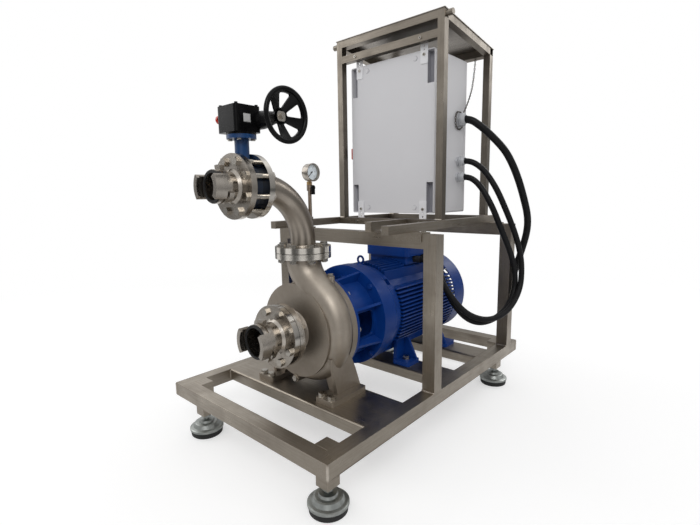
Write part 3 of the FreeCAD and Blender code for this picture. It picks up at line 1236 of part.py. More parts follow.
def lantern():
    """Bell housing between pump and motor with four windows and radial ribs."""
    centre = V(0, 0, SHAFT_Z)
    inner = LANTERN_DRUM_RADIUS - LANTERN_WALL
    front = CASING_FLANGE_REAR
    outline = [(inner, front), (LANTERN_RING_RADIUS, front), (LANTERN_RING_RADIUS, LANTERN_RING_REAR),
               (LANTERN_DRUM_RADIUS, LANTERN_RING_REAR), (LANTERN_DRUM_RADIUS, LANTERN_FLANGE_FRONT),
               (LANTERN_FLANGE_RADIUS, LANTERN_FLANGE_FRONT), (LANTERN_FLANGE_RADIUS, LANTERN_FLANGE_REAR),
               (SPIGOT_RADIUS, LANTERN_FLANGE_REAR), (SPIGOT_RADIUS, LANTERN_FLANGE_FRONT + LANTERN_WALL),
               (inner, LANTERN_FLANGE_FRONT + LANTERN_WALL)]
    body = revolve_profile(outline, centre, Y_AXIS)
    ribs = []
    for k in range(LANTERN_RIBS):
        rib = prism([V(r, y, -LANTERN_RIB / 2) for r, y in
                     ((inner + 4, LANTERN_RING_REAR), (LANTERN_RING_RADIUS - 3, LANTERN_RING_REAR),
                      (LANTERN_FLANGE_RADIUS - 4, LANTERN_FLANGE_FRONT), (inner + 4, LANTERN_FLANGE_FRONT))],
                    Z_AXIS * LANTERN_RIB)
        rib.translate(centre)
        ribs.append(turned(rib, centre, Y_AXIS, 22.5 + 45 * k))
    body = fuse([body] + ribs)
    for k in range(LANTERN_WINDOWS):
        half = WINDOW_HALF
        cutter = box(inner - 20, LANTERN_RING_RADIUS + 30, WINDOW_FRONT, WINDOW_REAR, -half, half)
        cutter = cutter.makeFillet(WINDOW_CORNER, [e for e in cutter.Edges if e.BoundBox.XLength > 10])
        cutter.translate(centre)
        body = body.cut(turned(cutter, centre, Y_AXIS, 90 * k))
    for u, w in casing_bolts():
        place = V(u, front, SHAFT_Z + w)
        body = body.cut(rod(CASING_BOLT, place, Y_AXIS, LANTERN_RING_REAR - front))
    for u, w in motor_bolts():
        place = V(u, LANTERN_FLANGE_FRONT, SHAFT_Z + w)
        body = body.cut(rod(CASING_BOLT, place, Y_AXIS, LANTERN_FLANGE_REAR - LANTERN_FLANGE_FRONT))
    add("lantern", body)


def motor_bolts():
    """Pairs (u, w) round the shaft of the bolts between lantern and motor flange."""
    return on_circle(4, MOTOR_BOLT_CIRCLE, 45)


def stator_housing():
    """Finned stator housing with four foot blocks and a pad for the terminal box."""
    centre = V(0, STATOR_FRONT, SHAFT_Z)
    length = STATOR_REAR - STATOR_FRONT
    band = ring(FIN_RADIUS, STATOR_CORE_RADIUS - 2, centre, Y_AXIS, length)
    bars = []
    count = int(FIN_SPREAD / FIN_PITCH)
    for k in range(-count, count + 1):
        offset = k * FIN_PITCH
        half = FIN_THICK / 2
        flat = box(-FIN_RADIUS, FIN_RADIUS, STATOR_FRONT, STATOR_REAR, SHAFT_Z + offset - half, SHAFT_Z + offset + half)
        tall = box(offset - half, offset + half, STATOR_FRONT, STATOR_REAR, SHAFT_Z - FIN_RADIUS, SHAFT_Z + FIN_RADIUS)
        bars += [flat, tall]
    fins = Part.makeCompound(bars).common(band)
    clear = box(-BOX_HALF_WIDTH - 2, BOX_HALF_WIDTH + 2, BOX_FRONT - 2, BOX_REAR + 2, BOX_BOTTOM - PAD_RISE,
                SHAFT_Z + FIN_RADIUS)
    fins = fins.cut(clear)
    pieces = [rod(STATOR_CORE_RADIUS, centre, Y_AXIS, length)] + fins.Solids
    pieces.append(box(-BOX_HALF_WIDTH + 10, BOX_HALF_WIDTH - 10, BOX_FRONT + 10, BOX_REAR - 10,
                      SHAFT_Z + STATOR_CORE_RADIUS - 30, BOX_BOTTOM))
    for x, y in motor_foot_bolts():
        foot = motor_foot(y)
        pieces.append(drilled(foot if x > 0 else mirrored_x(foot), motor_foot_bolts()))
    body = fuse(pieces)
    bore = rod(STATOR_BORE_RADIUS, centre, Y_AXIS, length)
    add("stator_housing", largest(body.cut(bore)))


def motor_foot(y):
    """Right foot of the motor: base, upright wall under the body and a sloped web beside the bolt."""
    half = MOTOR_FOOT_LENGTH / 2
    high = FRAME_TOP + MOTOR_FOOT_THICK
    base = box(MOTOR_FOOT_INNER, MOTOR_FOOT_OUTER, y - half, y + half, FRAME_TOP, high)
    base = base.makeFillet(FOOT_CORNER, [e for e in base.Edges if e.BoundBox.ZLength > 1])
    wall = box(MOTOR_FOOT_INNER, FOOT_PEDESTAL, y - half + FOOT_CORNER, y + half - FOOT_CORNER, high,
               FOOT_PEDESTAL_TOP)
    inside = half - FOOT_CORNER - FOOT_CHEEK
    web_y = y + inside if y < (STATOR_FRONT + STATOR_REAR) / 2 else y - inside - FOOT_CHEEK
    web = prism([V(FOOT_PEDESTAL, web_y, high), V(MOTOR_FOOT_OUTER - 4, web_y, high),
                 V(FOOT_PEDESTAL + FOOT_CHEEK, web_y, FOOT_PEDESTAL_TOP),
                 V(FOOT_PEDESTAL, web_y, FOOT_PEDESTAL_TOP)], Y_AXIS * FOOT_CHEEK)
    return fuse([base, wall, web])


def end_shields():
    """Drive end shield with the motor flange, and the shield under the fan cover."""
    centre = V(0, 0, SHAFT_Z)
    hub = BEARING_RADIUS + SHIELD_WALL
    bearing = BEARING_RADIUS
    gap = SHAFT_RADIUS_MOTOR + HIDDEN_GAP
    front = LANTERN_FLANGE_REAR
    step = front - SPIGOT_DEPTH
    drive = [(gap, step), (SPIGOT_RADIUS - RUN_CLEAR, step), (SPIGOT_RADIUS - RUN_CLEAR, front),
             (MOTOR_FLANGE_RADIUS, front), (MOTOR_FLANGE_RADIUS, MOTOR_FLANGE_REAR), (SHIELD_RADIUS, SHIELD_CONE_Y),
             (SHIELD_RADIUS, STATOR_FRONT), (STATOR_BORE_RADIUS + 20, STATOR_FRONT),
             (STATOR_BORE_RADIUS + 20, MOTOR_FLANGE_REAR + SHIELD_WALL), (hub, MOTOR_FLANGE_REAR + SHIELD_WALL),
             (hub, BEARING_FRONT + BEARING_WIDTH), (bearing, BEARING_FRONT + BEARING_WIDTH), (bearing, BEARING_FRONT),
             (gap, BEARING_FRONT)]
    shield = revolve_profile(drive, centre, Y_AXIS)
    boss = rod(EYE_COLLAR + 2, V(0, LIFTING_Y, eye_seat()), -Z_AXIS, EYE_DEPTH + 4)
    room = rod(EYE_COLLAR + 2, V(0, LIFTING_Y, eye_seat()), Z_AXIS, EYE_DEPTH)
    shield = shield.fuse(boss).cut(room).cut(rod(EYE_SHANK, V(0, LIFTING_Y, eye_seat()), -Z_AXIS, EYE_DEPTH))
    for u, w in motor_bolts():
        place = V(u, front, SHAFT_Z + w)
        shield = shield.cut(rod(CASING_BOLT, place, Y_AXIS, MOTOR_FLANGE_REAR - front + 30))
        shield = shield.cut(rod(CASING_BOLT * 2.4, place + Y_AXIS * (MOTOR_FLANGE_REAR - front), Y_AXIS, 40))
    add("end_shields", shield)
    rear = STATOR_REAR
    back = [(STATOR_BORE_RADIUS + 20, rear), (STATOR_CORE_RADIUS, rear), (STATOR_CORE_RADIUS, rear + 10),
            (hub + 10, rear + REAR_SHIELD), (gap, rear + REAR_SHIELD), (gap, BEARING_REAR + BEARING_WIDTH),
            (bearing, BEARING_REAR + BEARING_WIDTH), (bearing, BEARING_REAR), (hub, BEARING_REAR),
            (hub, rear + 8), (STATOR_BORE_RADIUS + 20, rear + 8)]
    add("end_shields", revolve_profile(back, centre, Y_AXIS))
    for y in (BEARING_FRONT, BEARING_REAR):
        start = V(0, y, SHAFT_Z)
        add("motor_bearings", ring(bearing, bearing - BEARING_RACE, start, Y_AXIS, BEARING_WIDTH))
        for u, w in on_circle(BEARING_BALLS, (bearing + SHAFT_RADIUS_MOTOR) / 2):
            ball = Part.makeSphere(BEARING_BALL, V(u, y + BEARING_WIDTH / 2, SHAFT_Z + w))
            add("motor_bearings", ball)
        add("motor_bearings", ring(SHAFT_RADIUS_MOTOR + BEARING_RACE, SHAFT_RADIUS_MOTOR + RUN_CLEAR, start, Y_AXIS, BEARING_WIDTH))


def rotor():
    """Squirrel cage rotor and the shaft that runs from the impeller to the fan."""
    centre = V(0, 0, SHAFT_Z)
    radius = STATOR_BORE_RADIUS - ROTOR_GAP
    main = SHAFT_RADIUS_MOTOR
    nose = DISCHARGE_Y - IMPELLER_WIDTH / 2 + 2
    outline = [(0, nose), (SHAFT_RADIUS, nose), (SHAFT_RADIUS, CLAMP_Y), (CLAMP_RADIUS, CLAMP_Y),
               (CLAMP_RADIUS, CLAMP_Y + CLAMP_LENGTH), (main, CLAMP_Y + CLAMP_LENGTH), (main, STATOR_FRONT + 12),
               (ROTOR_RING, STATOR_FRONT + 12), (ROTOR_RING, STATOR_FRONT + 30), (radius, STATOR_FRONT + 30),
               (radius, STATOR_REAR - 30), (ROTOR_RING, STATOR_REAR - 30), (ROTOR_RING, STATOR_REAR - 12),
               (main, STATOR_REAR - 12), (main, FAN_Y - 1), (FAN_SHAFT, FAN_Y - 1), (FAN_SHAFT, FAN_Y + FAN_HUB),
               (0, FAN_Y + FAN_HUB)]
    add("motor_rotor", revolve_profile(outline, centre, Y_AXIS))
    hub = ring(FAN_HUB_RADIUS, FAN_SHAFT, V(0, FAN_Y, SHAFT_Z), Y_AXIS, FAN_HUB)
    disc = ring(FAN_RADIUS - 30, FAN_SHAFT, V(0, FAN_Y, SHAFT_Z), Y_AXIS, FAN_SHEET)
    blades = []
    for k in range(FAN_BLADES):
        blade = box(FAN_HUB_RADIUS - 4, FAN_RADIUS, FAN_Y, FAN_Y + FAN_HUB, SHAFT_Z - FAN_SHEET / 2,
                    SHAFT_Z + FAN_SHEET / 2)
        blades.append(turned(blade, centre, Y_AXIS, 360.0 * k / FAN_BLADES))
    add("cooling_fan", fuse([hub, disc] + blades))


def fan_cover():
    """Sheet cover with a ring and spoke grille at the rear."""
    centre = V(0, 0, SHAFT_Z)
    front = STATOR_REAR
    rear = FAN_COVER_REAR
    wall = FAN_COVER_SHEET
    radius = FAN_COVER_RADIUS
    outline = [(radius - wall, front), (radius, front), (radius, rear - 16), (radius - 5, rear - 5),
               (radius - 16, rear), (GRILLE_RADIUS, rear), (GRILLE_RADIUS, rear - wall),
               (radius - 17, rear - wall), (radius - 5 - wall, rear - 7), (radius - wall, rear - 18)]
    pieces = [revolve_profile(outline, centre, Y_AXIS)]
    start = V(0, rear - wall, SHAFT_Z)
    for r in range(GRILLE_FIRST, int(GRILLE_RADIUS), GRILLE_PITCH):
        pieces.append(ring(r + GRILLE_BAR / 2, r - GRILLE_BAR / 2, start, Y_AXIS, wall))
    for k in range(GRILLE_SPOKES):
        spoke = box(GRILLE_FIRST - 4, GRILLE_RADIUS + 3, rear - wall, rear, SHAFT_Z - GRILLE_BAR / 2,
                    SHAFT_Z + GRILLE_BAR / 2)
        pieces.append(turned(spoke, centre, Y_AXIS, 360.0 * k / GRILLE_SPOKES))
    pieces.append(rod(GRILLE_FIRST - 2, start, Y_AXIS, wall))
    for k in range(4):
        lug = box(STATOR_CORE_RADIUS, radius - 1, front, front + 12, SHAFT_Z - 6, SHAFT_Z + 6)
        pieces.append(turned(lug, centre, Y_AXIS, 45 + 90 * k))
    add("fan_cover", fuse(pieces))


def terminal_box():
    """Terminal box body with an overhanging lid, terminal block inside and lid screws."""
    half = BOX_HALF_WIDTH
    wall = BOX_WALL
    body = box(-half, half, BOX_FRONT, BOX_REAR, BOX_BOTTOM, BOX_SPLIT)
    body = body.makeFillet(BOX_CORNER, [e for e in body.Edges if e.BoundBox.ZLength > 1])
    body = body.cut(box(-half + wall, half - wall, BOX_FRONT + wall, BOX_REAR - wall, BOX_BOTTOM + wall, BOX_SPLIT))
    for y in BOX_GLAND_Y:
        body = body.cut(rod(BOX_GLAND_RADIUS * SPIGOT_SHARE, V(half - wall, y, BOX_GLAND_Z), X_AXIS, wall))
    add("terminal_box", body)
    middle = (BOX_FRONT + BOX_REAR) / 2
    block = box(-TERMINAL_HALF, TERMINAL_HALF, middle - 30, middle + 30, BOX_BOTTOM + wall, BOX_BOTTOM + wall + 24)
    add("terminal_box", block)
    for x in (-40, 0, 40):
        for y in (middle - 18, middle + 18):
            add("terminal_box", rod(4, V(x, y, BOX_BOTTOM + wall + 24), Z_AXIS, 16))
    over = LID_OVERHANG
    lid = box(-half - over, half + over, BOX_FRONT - over, BOX_REAR + over, BOX_SPLIT, BOX_TOP)
    lid = lid.makeFillet(BOX_CORNER + over, [e for e in lid.Edges if e.BoundBox.ZLength > 1])
    rim = [e for e in lid.Edges if e.BoundBox.ZMin > BOX_TOP - 0.1]
    lid = lid.makeFillet(LID_EDGE, rim)
    lid = lid.cut(box(-half + wall, half - wall, BOX_FRONT + wall, BOX_REAR - wall, BOX_SPLIT, BOX_TOP - wall))
    for side in SIDES:
        for y in (BOX_FRONT - 2, BOX_REAR + 2):
            head = rod(6, V(side * (half + 2), y, BOX_TOP - LID_SCREW_DEPTH), Z_AXIS, LID_SCREW_DEPTH)
            lid = lid.cut(head)
            add("terminal_lid", rod(5.5, V(side * (half + 2), y, BOX_TOP - LID_SCREW_DEPTH), Z_AXIS, LID_SCREW_DEPTH - 3))
    add("terminal_lid", lid)


def lifting_eye():
    """Eye bolt on the drive end shield."""
    y = LIFTING_Y
    seat = eye_seat()
    collar = rod(EYE_COLLAR, V(0, y, seat), Z_AXIS, EYE_COLLAR_HEIGHT)
    centre = V(0, y, seat + EYE_COLLAR_HEIGHT + EYE_RADIUS)
    loop = Part.makeTorus(EYE_RADIUS, EYE_WIRE, centre, Y_AXIS)
    shank = rod(EYE_SHANK, V(0, y, seat - EYE_DEPTH), Z_AXIS, EYE_DEPTH)
    add("lifting_eye", fuse([collar, loop, shank]))


def eye_seat():
    """Height of the flat where the lifting eye sits."""
    return SHAFT_Z + SHIELD_RADIUS + 2


def ring_flange(face, axis, outer, bore, thick, circle, count, hole):
    """Drilled pipe flange from its face along an axis that lies along Y or Z."""
    flange = ring(outer, bore, face, axis, thick)
    for u, w in on_circle(count, circle, 180.0 / count):
        if abs(axis.z) > 0.5:
            place = face + V(u, w, 0)
        else:
            place = face + V(u, 0, w)
        flange = flange.cut(rod(hole, place, axis, thick))
    return flange


def discharge_elbow():
    """Quarter bend of tube with a flange at each end and the gauge tapping."""
    joint = SHAFT_Z + DISCHARGE_RISE + GASKET
    start = V(0, DISCHARGE_Y, joint)
    inner = PIPE_RADIUS - PIPE_WALL
    rise = OUTLET_Z - BEND_RADIUS - joint
    bend_centre = V(0, DISCHARGE_Y - BEND_RADIUS, OUTLET_Z - BEND_RADIUS)
    pieces = []
    holes = []
    for radius, group in ((PIPE_RADIUS, pieces), (inner, holes)):
        group.append(rod(radius, start, Z_AXIS, rise))
        face = Part.Face(Part.Wire(Part.makeCircle(radius, V(0, DISCHARGE_Y, OUTLET_Z - BEND_RADIUS), Z_AXIS)))
        group.append(face.revolve(bend_centre, X_AXIS, 90))
        group.append(rod(radius, V(0, DISCHARGE_Y - BEND_RADIUS, OUTLET_Z), -Y_AXIS,
                         DISCHARGE_Y - BEND_RADIUS - elbow_face()))
    lower = ring_flange(start, Z_AXIS, DISCHARGE_FLANGE_RADIUS, inner, DISCHARGE_FLANGE_THICK,
                        DISCHARGE_BOLT_CIRCLE, 8, FLANGE_BOLT)
    upper = ring_flange(V(0, elbow_face(), OUTLET_Z), Y_AXIS, DISCHARGE_FLANGE_RADIUS, inner,
                        DISCHARGE_FLANGE_THICK, DISCHARGE_BOLT_CIRCLE, 8, FLANGE_BOLT)
    tapping = rod(GAUGE_SOCKET, V(GAUGE_X, GAUGE_Y, TAPPING_LOW), Z_AXIS, TAPPING_TOP - TAPPING_LOW)
    body = fuse(pieces + [lower, upper, tapping])
    seat = V(GAUGE_X, GAUGE_Y, TAPPING_TOP - TAPPING_SEAT)
    holes.append(rod(GAUGE_TUBE_RADIUS, seat, Z_AXIS, TAPPING_SEAT))
    holes.append(rod(GAUGE_TUBE_BORE, seat, -Z_AXIS, TAPPING_TOP - TAPPING_LOW))
    add("discharge_elbow", largest(body.cut(fuse(holes))))


def elbow_face():
    """Place along Y of the elbow flange face towards the valve."""
    return VALVE_REAR_FACE


def stem_y():
    """Place of the valve stem along Y."""
    return VALVE_REAR_FACE - VALVE_WIDTH / 2


def valve():
    """Wafer butterfly valve: body with neck and top flange, liner, disc with its stem."""
    centre = V(0, stem_y(), OUTLET_Z)
    start = centre - Y_AXIS * (VALVE_WIDTH / 2)
    liner_outer = VALVE_BORE + VALVE_LINER
    body = rod(VALVE_BODY_RADIUS, start, Y_AXIS, VALVE_WIDTH)
    neck = rod(VALVE_NECK_RADIUS, centre, Z_AXIS, NECK_TOP - OUTLET_Z)
    flange = rod(TOP_FLANGE_RADIUS, V(0, stem_y(), NECK_TOP - TOP_FLANGE_THICK), Z_AXIS, TOP_FLANGE_THICK)
    foot = rod(VALVE_NECK_RADIUS - 5, centre, -Z_AXIS, VALVE_BODY_RADIUS + 12)
    body = fuse([body, neck, flange, foot])
    body = body.cut(rod(liner_outer, start, Y_AXIS, VALVE_WIDTH))
    body = body.cut(rod(STEM_RADIUS + RUN_CLEAR, centre, Z_AXIS, NECK_TOP - OUTLET_Z))
    body = body.cut(rod(STEM_RADIUS + RUN_CLEAR, centre, -Z_AXIS, VALVE_BODY_RADIUS + 4))
    for u, w in on_circle(4, TOP_BOLT_CIRCLE, 45):
        place = V(u, stem_y() + w, NECK_TOP - TOP_FLANGE_THICK)
        body = body.cut(rod(TOP_BOLT, place, Z_AXIS, TOP_FLANGE_THICK))
    add("valve_body", body)
    liner = ring(liner_outer, VALVE_BORE, start, Y_AXIS, VALVE_WIDTH)
    stem_hole = rod(STEM_RADIUS + RUN_CLEAR, centre - Z_AXIS * (liner_outer + 2), Z_AXIS, 2 * liner_outer + 4)
    add("valve_liner", liner.cut(stem_hole))
    rim = VALVE_BORE - BODY_GAP
    ball = Part.makeSphere(rim, centre)
    disc = ball.common(box(-rim, rim, centre.y - DISC_THICK / 2, centre.y + DISC_THICK / 2,
                           OUTLET_Z - rim, OUTLET_Z + rim))
    rib = rod(STEM_RADIUS + 4, centre - Z_AXIS * (rim * 0.9), Z_AXIS, rim * 1.8).common(ball)
    top = GEAR_BOTTOM + GEAR_HEIGHT - GEAR_WALL
    stem = rod(STEM_RADIUS, centre - Z_AXIS * (VALVE_BODY_RADIUS + 2), Z_AXIS, top - OUTLET_Z + VALVE_BODY_RADIUS)
    add("valve_disc", fuse([disc, rib, stem]))


def pitch_radius():
    """Pitch radius of the worm wheel."""
    return WORM_OFFSET - WORM_RADIUS


def worm_pitch():
    """Advance of the worm in one turn."""
    return 2 * math.pi * pitch_radius() / WHEEL_TEETH


def worm_drive():
    """Worm wheel on the valve stem and the worm on the handwheel shaft."""
    centre = V(0, stem_y(), WORM_Z)
    outer = pitch_radius() + TOOTH_DEPTH / 2
    wheel = rod(outer, centre - Z_AXIS * (WHEEL_FACE / 2), Z_AXIS, WHEEL_FACE)
    wheel = wheel.fuse(rod(STEM_RADIUS + 9, centre - Z_AXIS * (WHEEL_HUB / 2), Z_AXIS, WHEEL_HUB))
    lead = math.degrees(math.atan(worm_pitch() / (2 * math.pi * WORM_RADIUS)))
    root = outer - TOOTH_DEPTH - BODY_GAP
    slots = []
    for k in range(WHEEL_TEETH):
        wide = worm_pitch() * SPACE_SHARE_TOP / 2
        narrow = worm_pitch() * SPACE_SHARE_ROOT / 2
        slot = prism([V(-wide, outer + 1, -WHEEL_FACE), V(wide, outer + 1, -WHEEL_FACE),
                      V(narrow, root, -WHEEL_FACE), V(-narrow, root, -WHEEL_FACE)], Z_AXIS * (2 * WHEEL_FACE))
        slot.rotate(V(0, 0, 0), Y_AXIS, -lead)
        slot.translate(centre)
        slots.append(turned(slot, centre, Z_AXIS, 360.0 * k / WHEEL_TEETH))
    wheel = wheel.cut(Part.makeCompound(slots))
    wheel = wheel.cut(rod(STEM_RADIUS, centre - Z_AXIS * WHEEL_HUB, Z_AXIS, 2 * WHEEL_HUB))
    add("worm_wheel", wheel)
    axis_y = worm_y()
    half = WORM_LENGTH / 2
    turns = WORM_LENGTH / worm_pitch()
    base = WORM_RADIUS - TOOTH_DEPTH / 2
    tip = WORM_RADIUS + TOOTH_DEPTH / 2
    helix = Part.makeHelix(worm_pitch(), worm_pitch() * turns, base)
    wide = worm_pitch() * THREAD_SHARE_ROOT / 2
    narrow = worm_pitch() * THREAD_SHARE_TIP / 2
    section = Part.makePolygon([V(base - 0.4, 0, -wide), V(tip, 0, -narrow), V(tip, 0, narrow), V(base - 0.4, 0, wide),
                                V(base - 0.4, 0, -wide)])
    thread = Part.Wire(helix).makePipeShell([section], True, True)
    phase = 270.0 - 360.0 * half / worm_pitch()
    thread.rotate(V(0, 0, 0), Z_AXIS, phase)
    thread.rotate(V(0, 0, 0), Y_AXIS, 90)
    thread.translate(V(-half, axis_y, WORM_Z))
    core = rod(base, V(-half - WORM_END, axis_y, WORM_Z), X_AXIS, WORM_LENGTH + 2 * WORM_END)
    journal = rod(JOURNAL_RADIUS, V(half + WORM_END, axis_y, WORM_Z), X_AXIS, HANDWHEEL_HUB_X - half - WORM_END)
    add("worm_shaft", fuse([core, thread, journal]))


def worm_y():
    """Place of the worm axis along Y."""
    return stem_y() + WORM_OFFSET


def gear_housing():
    """Housing of the worm drive with its snout, stop boss, cap and top plate."""
    y0 = stem_y() - GEAR_HALF_DEPTH
    y1 = stem_y() + GEAR_HALF_DEPTH
    top = GEAR_BOTTOM + GEAR_HEIGHT
    shell = box(GEAR_LEFT, GEAR_RIGHT, y0, y1, GEAR_BOTTOM, top)
    shell = shell.makeFillet(GEAR_CORNER, [e for e in shell.Edges if e.BoundBox.ZLength > 1])
    left = V(GEAR_LEFT - 4, worm_y(), WORM_Z)
    barrel = rod(SNOUT_RADIUS, left, X_AXIS, GEAR_RIGHT + 12 - left.x)
    snout = taper(SNOUT_RADIUS, SNOUT_END_RADIUS, V(GEAR_RIGHT + 12, worm_y(), WORM_Z), X_AXIS,
                  SNOUT_RIGHT - GEAR_RIGHT - 12)
    base = rod(TOP_FLANGE_RADIUS, V(0, stem_y(), NECK_TOP), Z_AXIS, GEAR_BOTTOM - NECK_TOP)
    stop = rod(STOP_RADIUS, V(GEAR_LEFT, STOP_Y, STOP_Z), -X_AXIS, STOP_LENGTH)
    shell = fuse([shell, barrel, snout, base, stop])
    wheel_room = rod(pitch_radius() + TOOTH_DEPTH / 2 + HIDDEN_GAP,
                     V(0, stem_y(), WORM_Z - WHEEL_HUB / 2 - HIDDEN_GAP), Z_AXIS, WHEEL_HUB + 2 * HIDDEN_GAP)
    worm_room = rod(WORM_RADIUS + TOOTH_DEPTH / 2 + HIDDEN_GAP, V(-WORM_LENGTH / 2 - WORM_END - 2, worm_y(), WORM_Z),
                    X_AXIS, WORM_LENGTH + 2 * WORM_END + 4)
    shaft_way = rod(JOURNAL_RADIUS + RUN_CLEAR, V(0, worm_y(), WORM_Z), X_AXIS, SNOUT_RIGHT)
    stem_way = rod(STEM_RADIUS + RUN_CLEAR, V(0, stem_y(), NECK_TOP), Z_AXIS, top - GEAR_WALL + 1 - NECK_TOP)
    shell = shell.cut(fuse([wheel_room, worm_room, shaft_way, stem_way]))
    for u, w in on_circle(4, TOP_BOLT_CIRCLE, 45):
        place = V(u, stem_y() + w, NECK_TOP)
        shell = shell.cut(rod(TOP_BOLT, place, Z_AXIS, GEAR_BOTTOM - NECK_TOP + TOP_BOLT_DEPTH))
    add("gear_housing", shell)
    add("gear_housing", rod(STOP_RADIUS + 2, V(GEAR_LEFT - STOP_LENGTH, STOP_Y, STOP_Z), -X_AXIS, STOP_CAP))
    plate_y = stem_y() - LABEL_OFFSET
    plate_z = (GEAR_BOTTOM + top) / 2
    add("gear_housing", box(GEAR_RIGHT, GEAR_RIGHT + LABEL_SHEET, plate_y - LABEL_WIDTH / 2,
                            plate_y + LABEL_WIDTH / 2, plate_z - LABEL_HEIGHT / 2, plate_z + LABEL_HEIGHT / 2))
    add("gear_housing", rod(INDICATOR_RADIUS, V(0, stem_y(), top), Z_AXIS, 5))
    for x in (GEAR_LEFT + 10, GEAR_RIGHT - 10):
        for y in (y0 + 10, y1 - 10):
            add("gear_housing", rod(5, V(x, y, top), Z_AXIS, 5))


def handwheel():
    """Dished handwheel with round rim, five rounded openings, hub and hub screw."""
    axis = V(0, worm_y(), WORM_Z)
    centre = V(HANDWHEEL_X, worm_y(), WORM_Z)
    rim = Part.makeTorus(HANDWHEEL_RADIUS, HANDWHEEL_RIM, centre, X_AXIS)
    hub_start = V(HANDWHEEL_HUB_X - HUB_SEAT, worm_y(), WORM_Z)
    hub = rod(HANDWHEEL_HUB_RADIUS, hub_start, X_AXIS, HANDWHEEL_HUB_LENGTH)
    inner = HANDWHEEL_HUB_RADIUS - 4
    half = HANDWHEEL_PLATE / 2
    plate = revolve_profile([(inner, HANDWHEEL_HUB_X - half), (HANDWHEEL_RADIUS, HANDWHEEL_X - half),
                             (HANDWHEEL_RADIUS, HANDWHEEL_X + half), (inner, HANDWHEEL_HUB_X + half)], axis, X_AXIS)
    wheel = fuse([rim, hub, plate])
    start = HANDWHEEL_HUB_X - HUB_SEAT
    depth = HANDWHEEL_X + HANDWHEEL_RIM - start
    wide = PETAL_INNER_HALF + (HANDWHEEL_RADIUS - PETAL_INNER) * PETAL_SPREAD
    petal = prism([V(start, PETAL_INNER, -PETAL_INNER_HALF), V(start, HANDWHEEL_RADIUS, -wide),
                   V(start, HANDWHEEL_RADIUS, wide), V(start, PETAL_INNER, PETAL_INNER_HALF)], X_AXIS * depth)
    petal = petal.common(rod(PETAL_OUTER, V(start, 0, 0), X_AXIS, depth))
    corners = [e for e in petal.Edges if abs(e.BoundBox.XLength - depth) < 0.5 and e.BoundBox.YLength < 0.5]
    petal = petal.makeFillet(PETAL_CORNER * 0.8, corners)
    petal.translate(axis)
    for k in range(HANDWHEEL_PETALS):
        wheel = wheel.cut(turned(petal, axis, X_AXIS, PETAL_FIRST + 360.0 * k / HANDWHEEL_PETALS))
    add("handwheel", wheel.cut(rod(JOURNAL_RADIUS, hub_start, X_AXIS, HUB_SEAT)))
    screw = hub_start + X_AXIS * HANDWHEEL_HUB_LENGTH
    add("handwheel", rod(9, screw, X_AXIS, 3))
    add("handwheel", hexagon(13, screw + X_AXIS * 3, X_AXIS, 6))


def hose_coupling(name, lock_name, face, thick, centre_z, outer, bore, circle, ring_face, ring_radius):
    """Flanged hose coupling with two claws, and the locking ring that turns on its neck."""
    centre = V(0, 0, centre_z)
    neck = ring_radius - COUPLING_STEP
    hook = ring_face - CLAW_REACH
    outline = [(bore, ring_face), (ring_radius, ring_face), (ring_radius, ring_face + COUPLING_HEAD),
               (neck, ring_face + COUPLING_HEAD + 4), (neck, face - thick - 8), (neck + 8, face - thick),
               (bore, face - thick)]
    body = revolve_profile(outline, centre, Y_AXIS)
    flange = ring_flange(V(0, face - thick, centre_z), Y_AXIS, outer, bore, thick, circle, 8, FLANGE_BOLT)
    claws = []
    radius = ring_radius + 12
    sweep = 2 * CLAW_HALF_ANGLE
    for middle in (0, 180):
        claw = sector(radius, radius - CLAW_THICK, V(0, hook, centre_z), ring_face + 6 - hook, middle, sweep)
        lip = sector(radius, radius - CLAW_THICK - 7, V(0, hook, centre_z), CLAW_LIP, middle, sweep)
        root = sector(radius, ring_radius - 4, V(0, ring_face, centre_z), COUPLING_HEAD, middle, sweep)
        claws += [claw, lip, root]
    add(name, largest(fuse([body, flange] + claws)))
    start = V(0, ring_face + COUPLING_HEAD + 6, centre_z)
    lock = ring(neck + LOCK_RING_WALL, neck + RUN_CLEAR, start, Y_AXIS, LOCK_RING_WIDTH)
    lugs = []
    for middle in (90, 210, 330):
        lugs.append(sector(neck + LOCK_RING_WALL + LOCK_LUG, neck + 3, start, LOCK_RING_WIDTH, middle, LOCK_LUG_SWEEP))
    add(lock_name, fuse([lock] + lugs))


def sector(outer, inner, start, depth, middle, sweep):
    """Part of a ring about an axis along Y, round a middle angle in degrees."""
    steps = max(3, int(sweep / SECTOR_STEP))
    full = []
    for k in range(steps + 1):
        angle = math.radians(middle - sweep / 2 + sweep * k / steps)
        full.append(start + V(math.cos(angle), 0, math.sin(angle)) * (outer * 1.2))
    wedge = prism([V(start)] + full, Y_AXIS * depth)
    return ring(outer, inner, start, Y_AXIS, depth).common(wedge)


def couplings():
    """Hose couplings of the suction side and of the outlet side."""
    face = DISCHARGE_Y - SUCTION_REACH - GASKET
    hose_coupling("suction_coupling", "suction_lock_ring", face, SUCTION_FLANGE_THICK, SHAFT_Z,
                  SUCTION_FLANGE_RADIUS, SUCTION_BORE_RADIUS, SUCTION_BOLT_CIRCLE, SUCTION_RING_FACE,
                  SUCTION_RING_RADIUS)
    face = VALVE_REAR_FACE - VALVE_WIDTH
    hose_coupling("outlet_coupling", "outlet_lock_ring", face, DISCHARGE_FLANGE_THICK, OUTLET_Z,
                  DISCHARGE_FLANGE_RADIUS, OUTLET_BORE_RADIUS, DISCHARGE_BOLT_CIRCLE, OUTLET_RING_FACE,
                  OUTLET_RING_RADIUS)


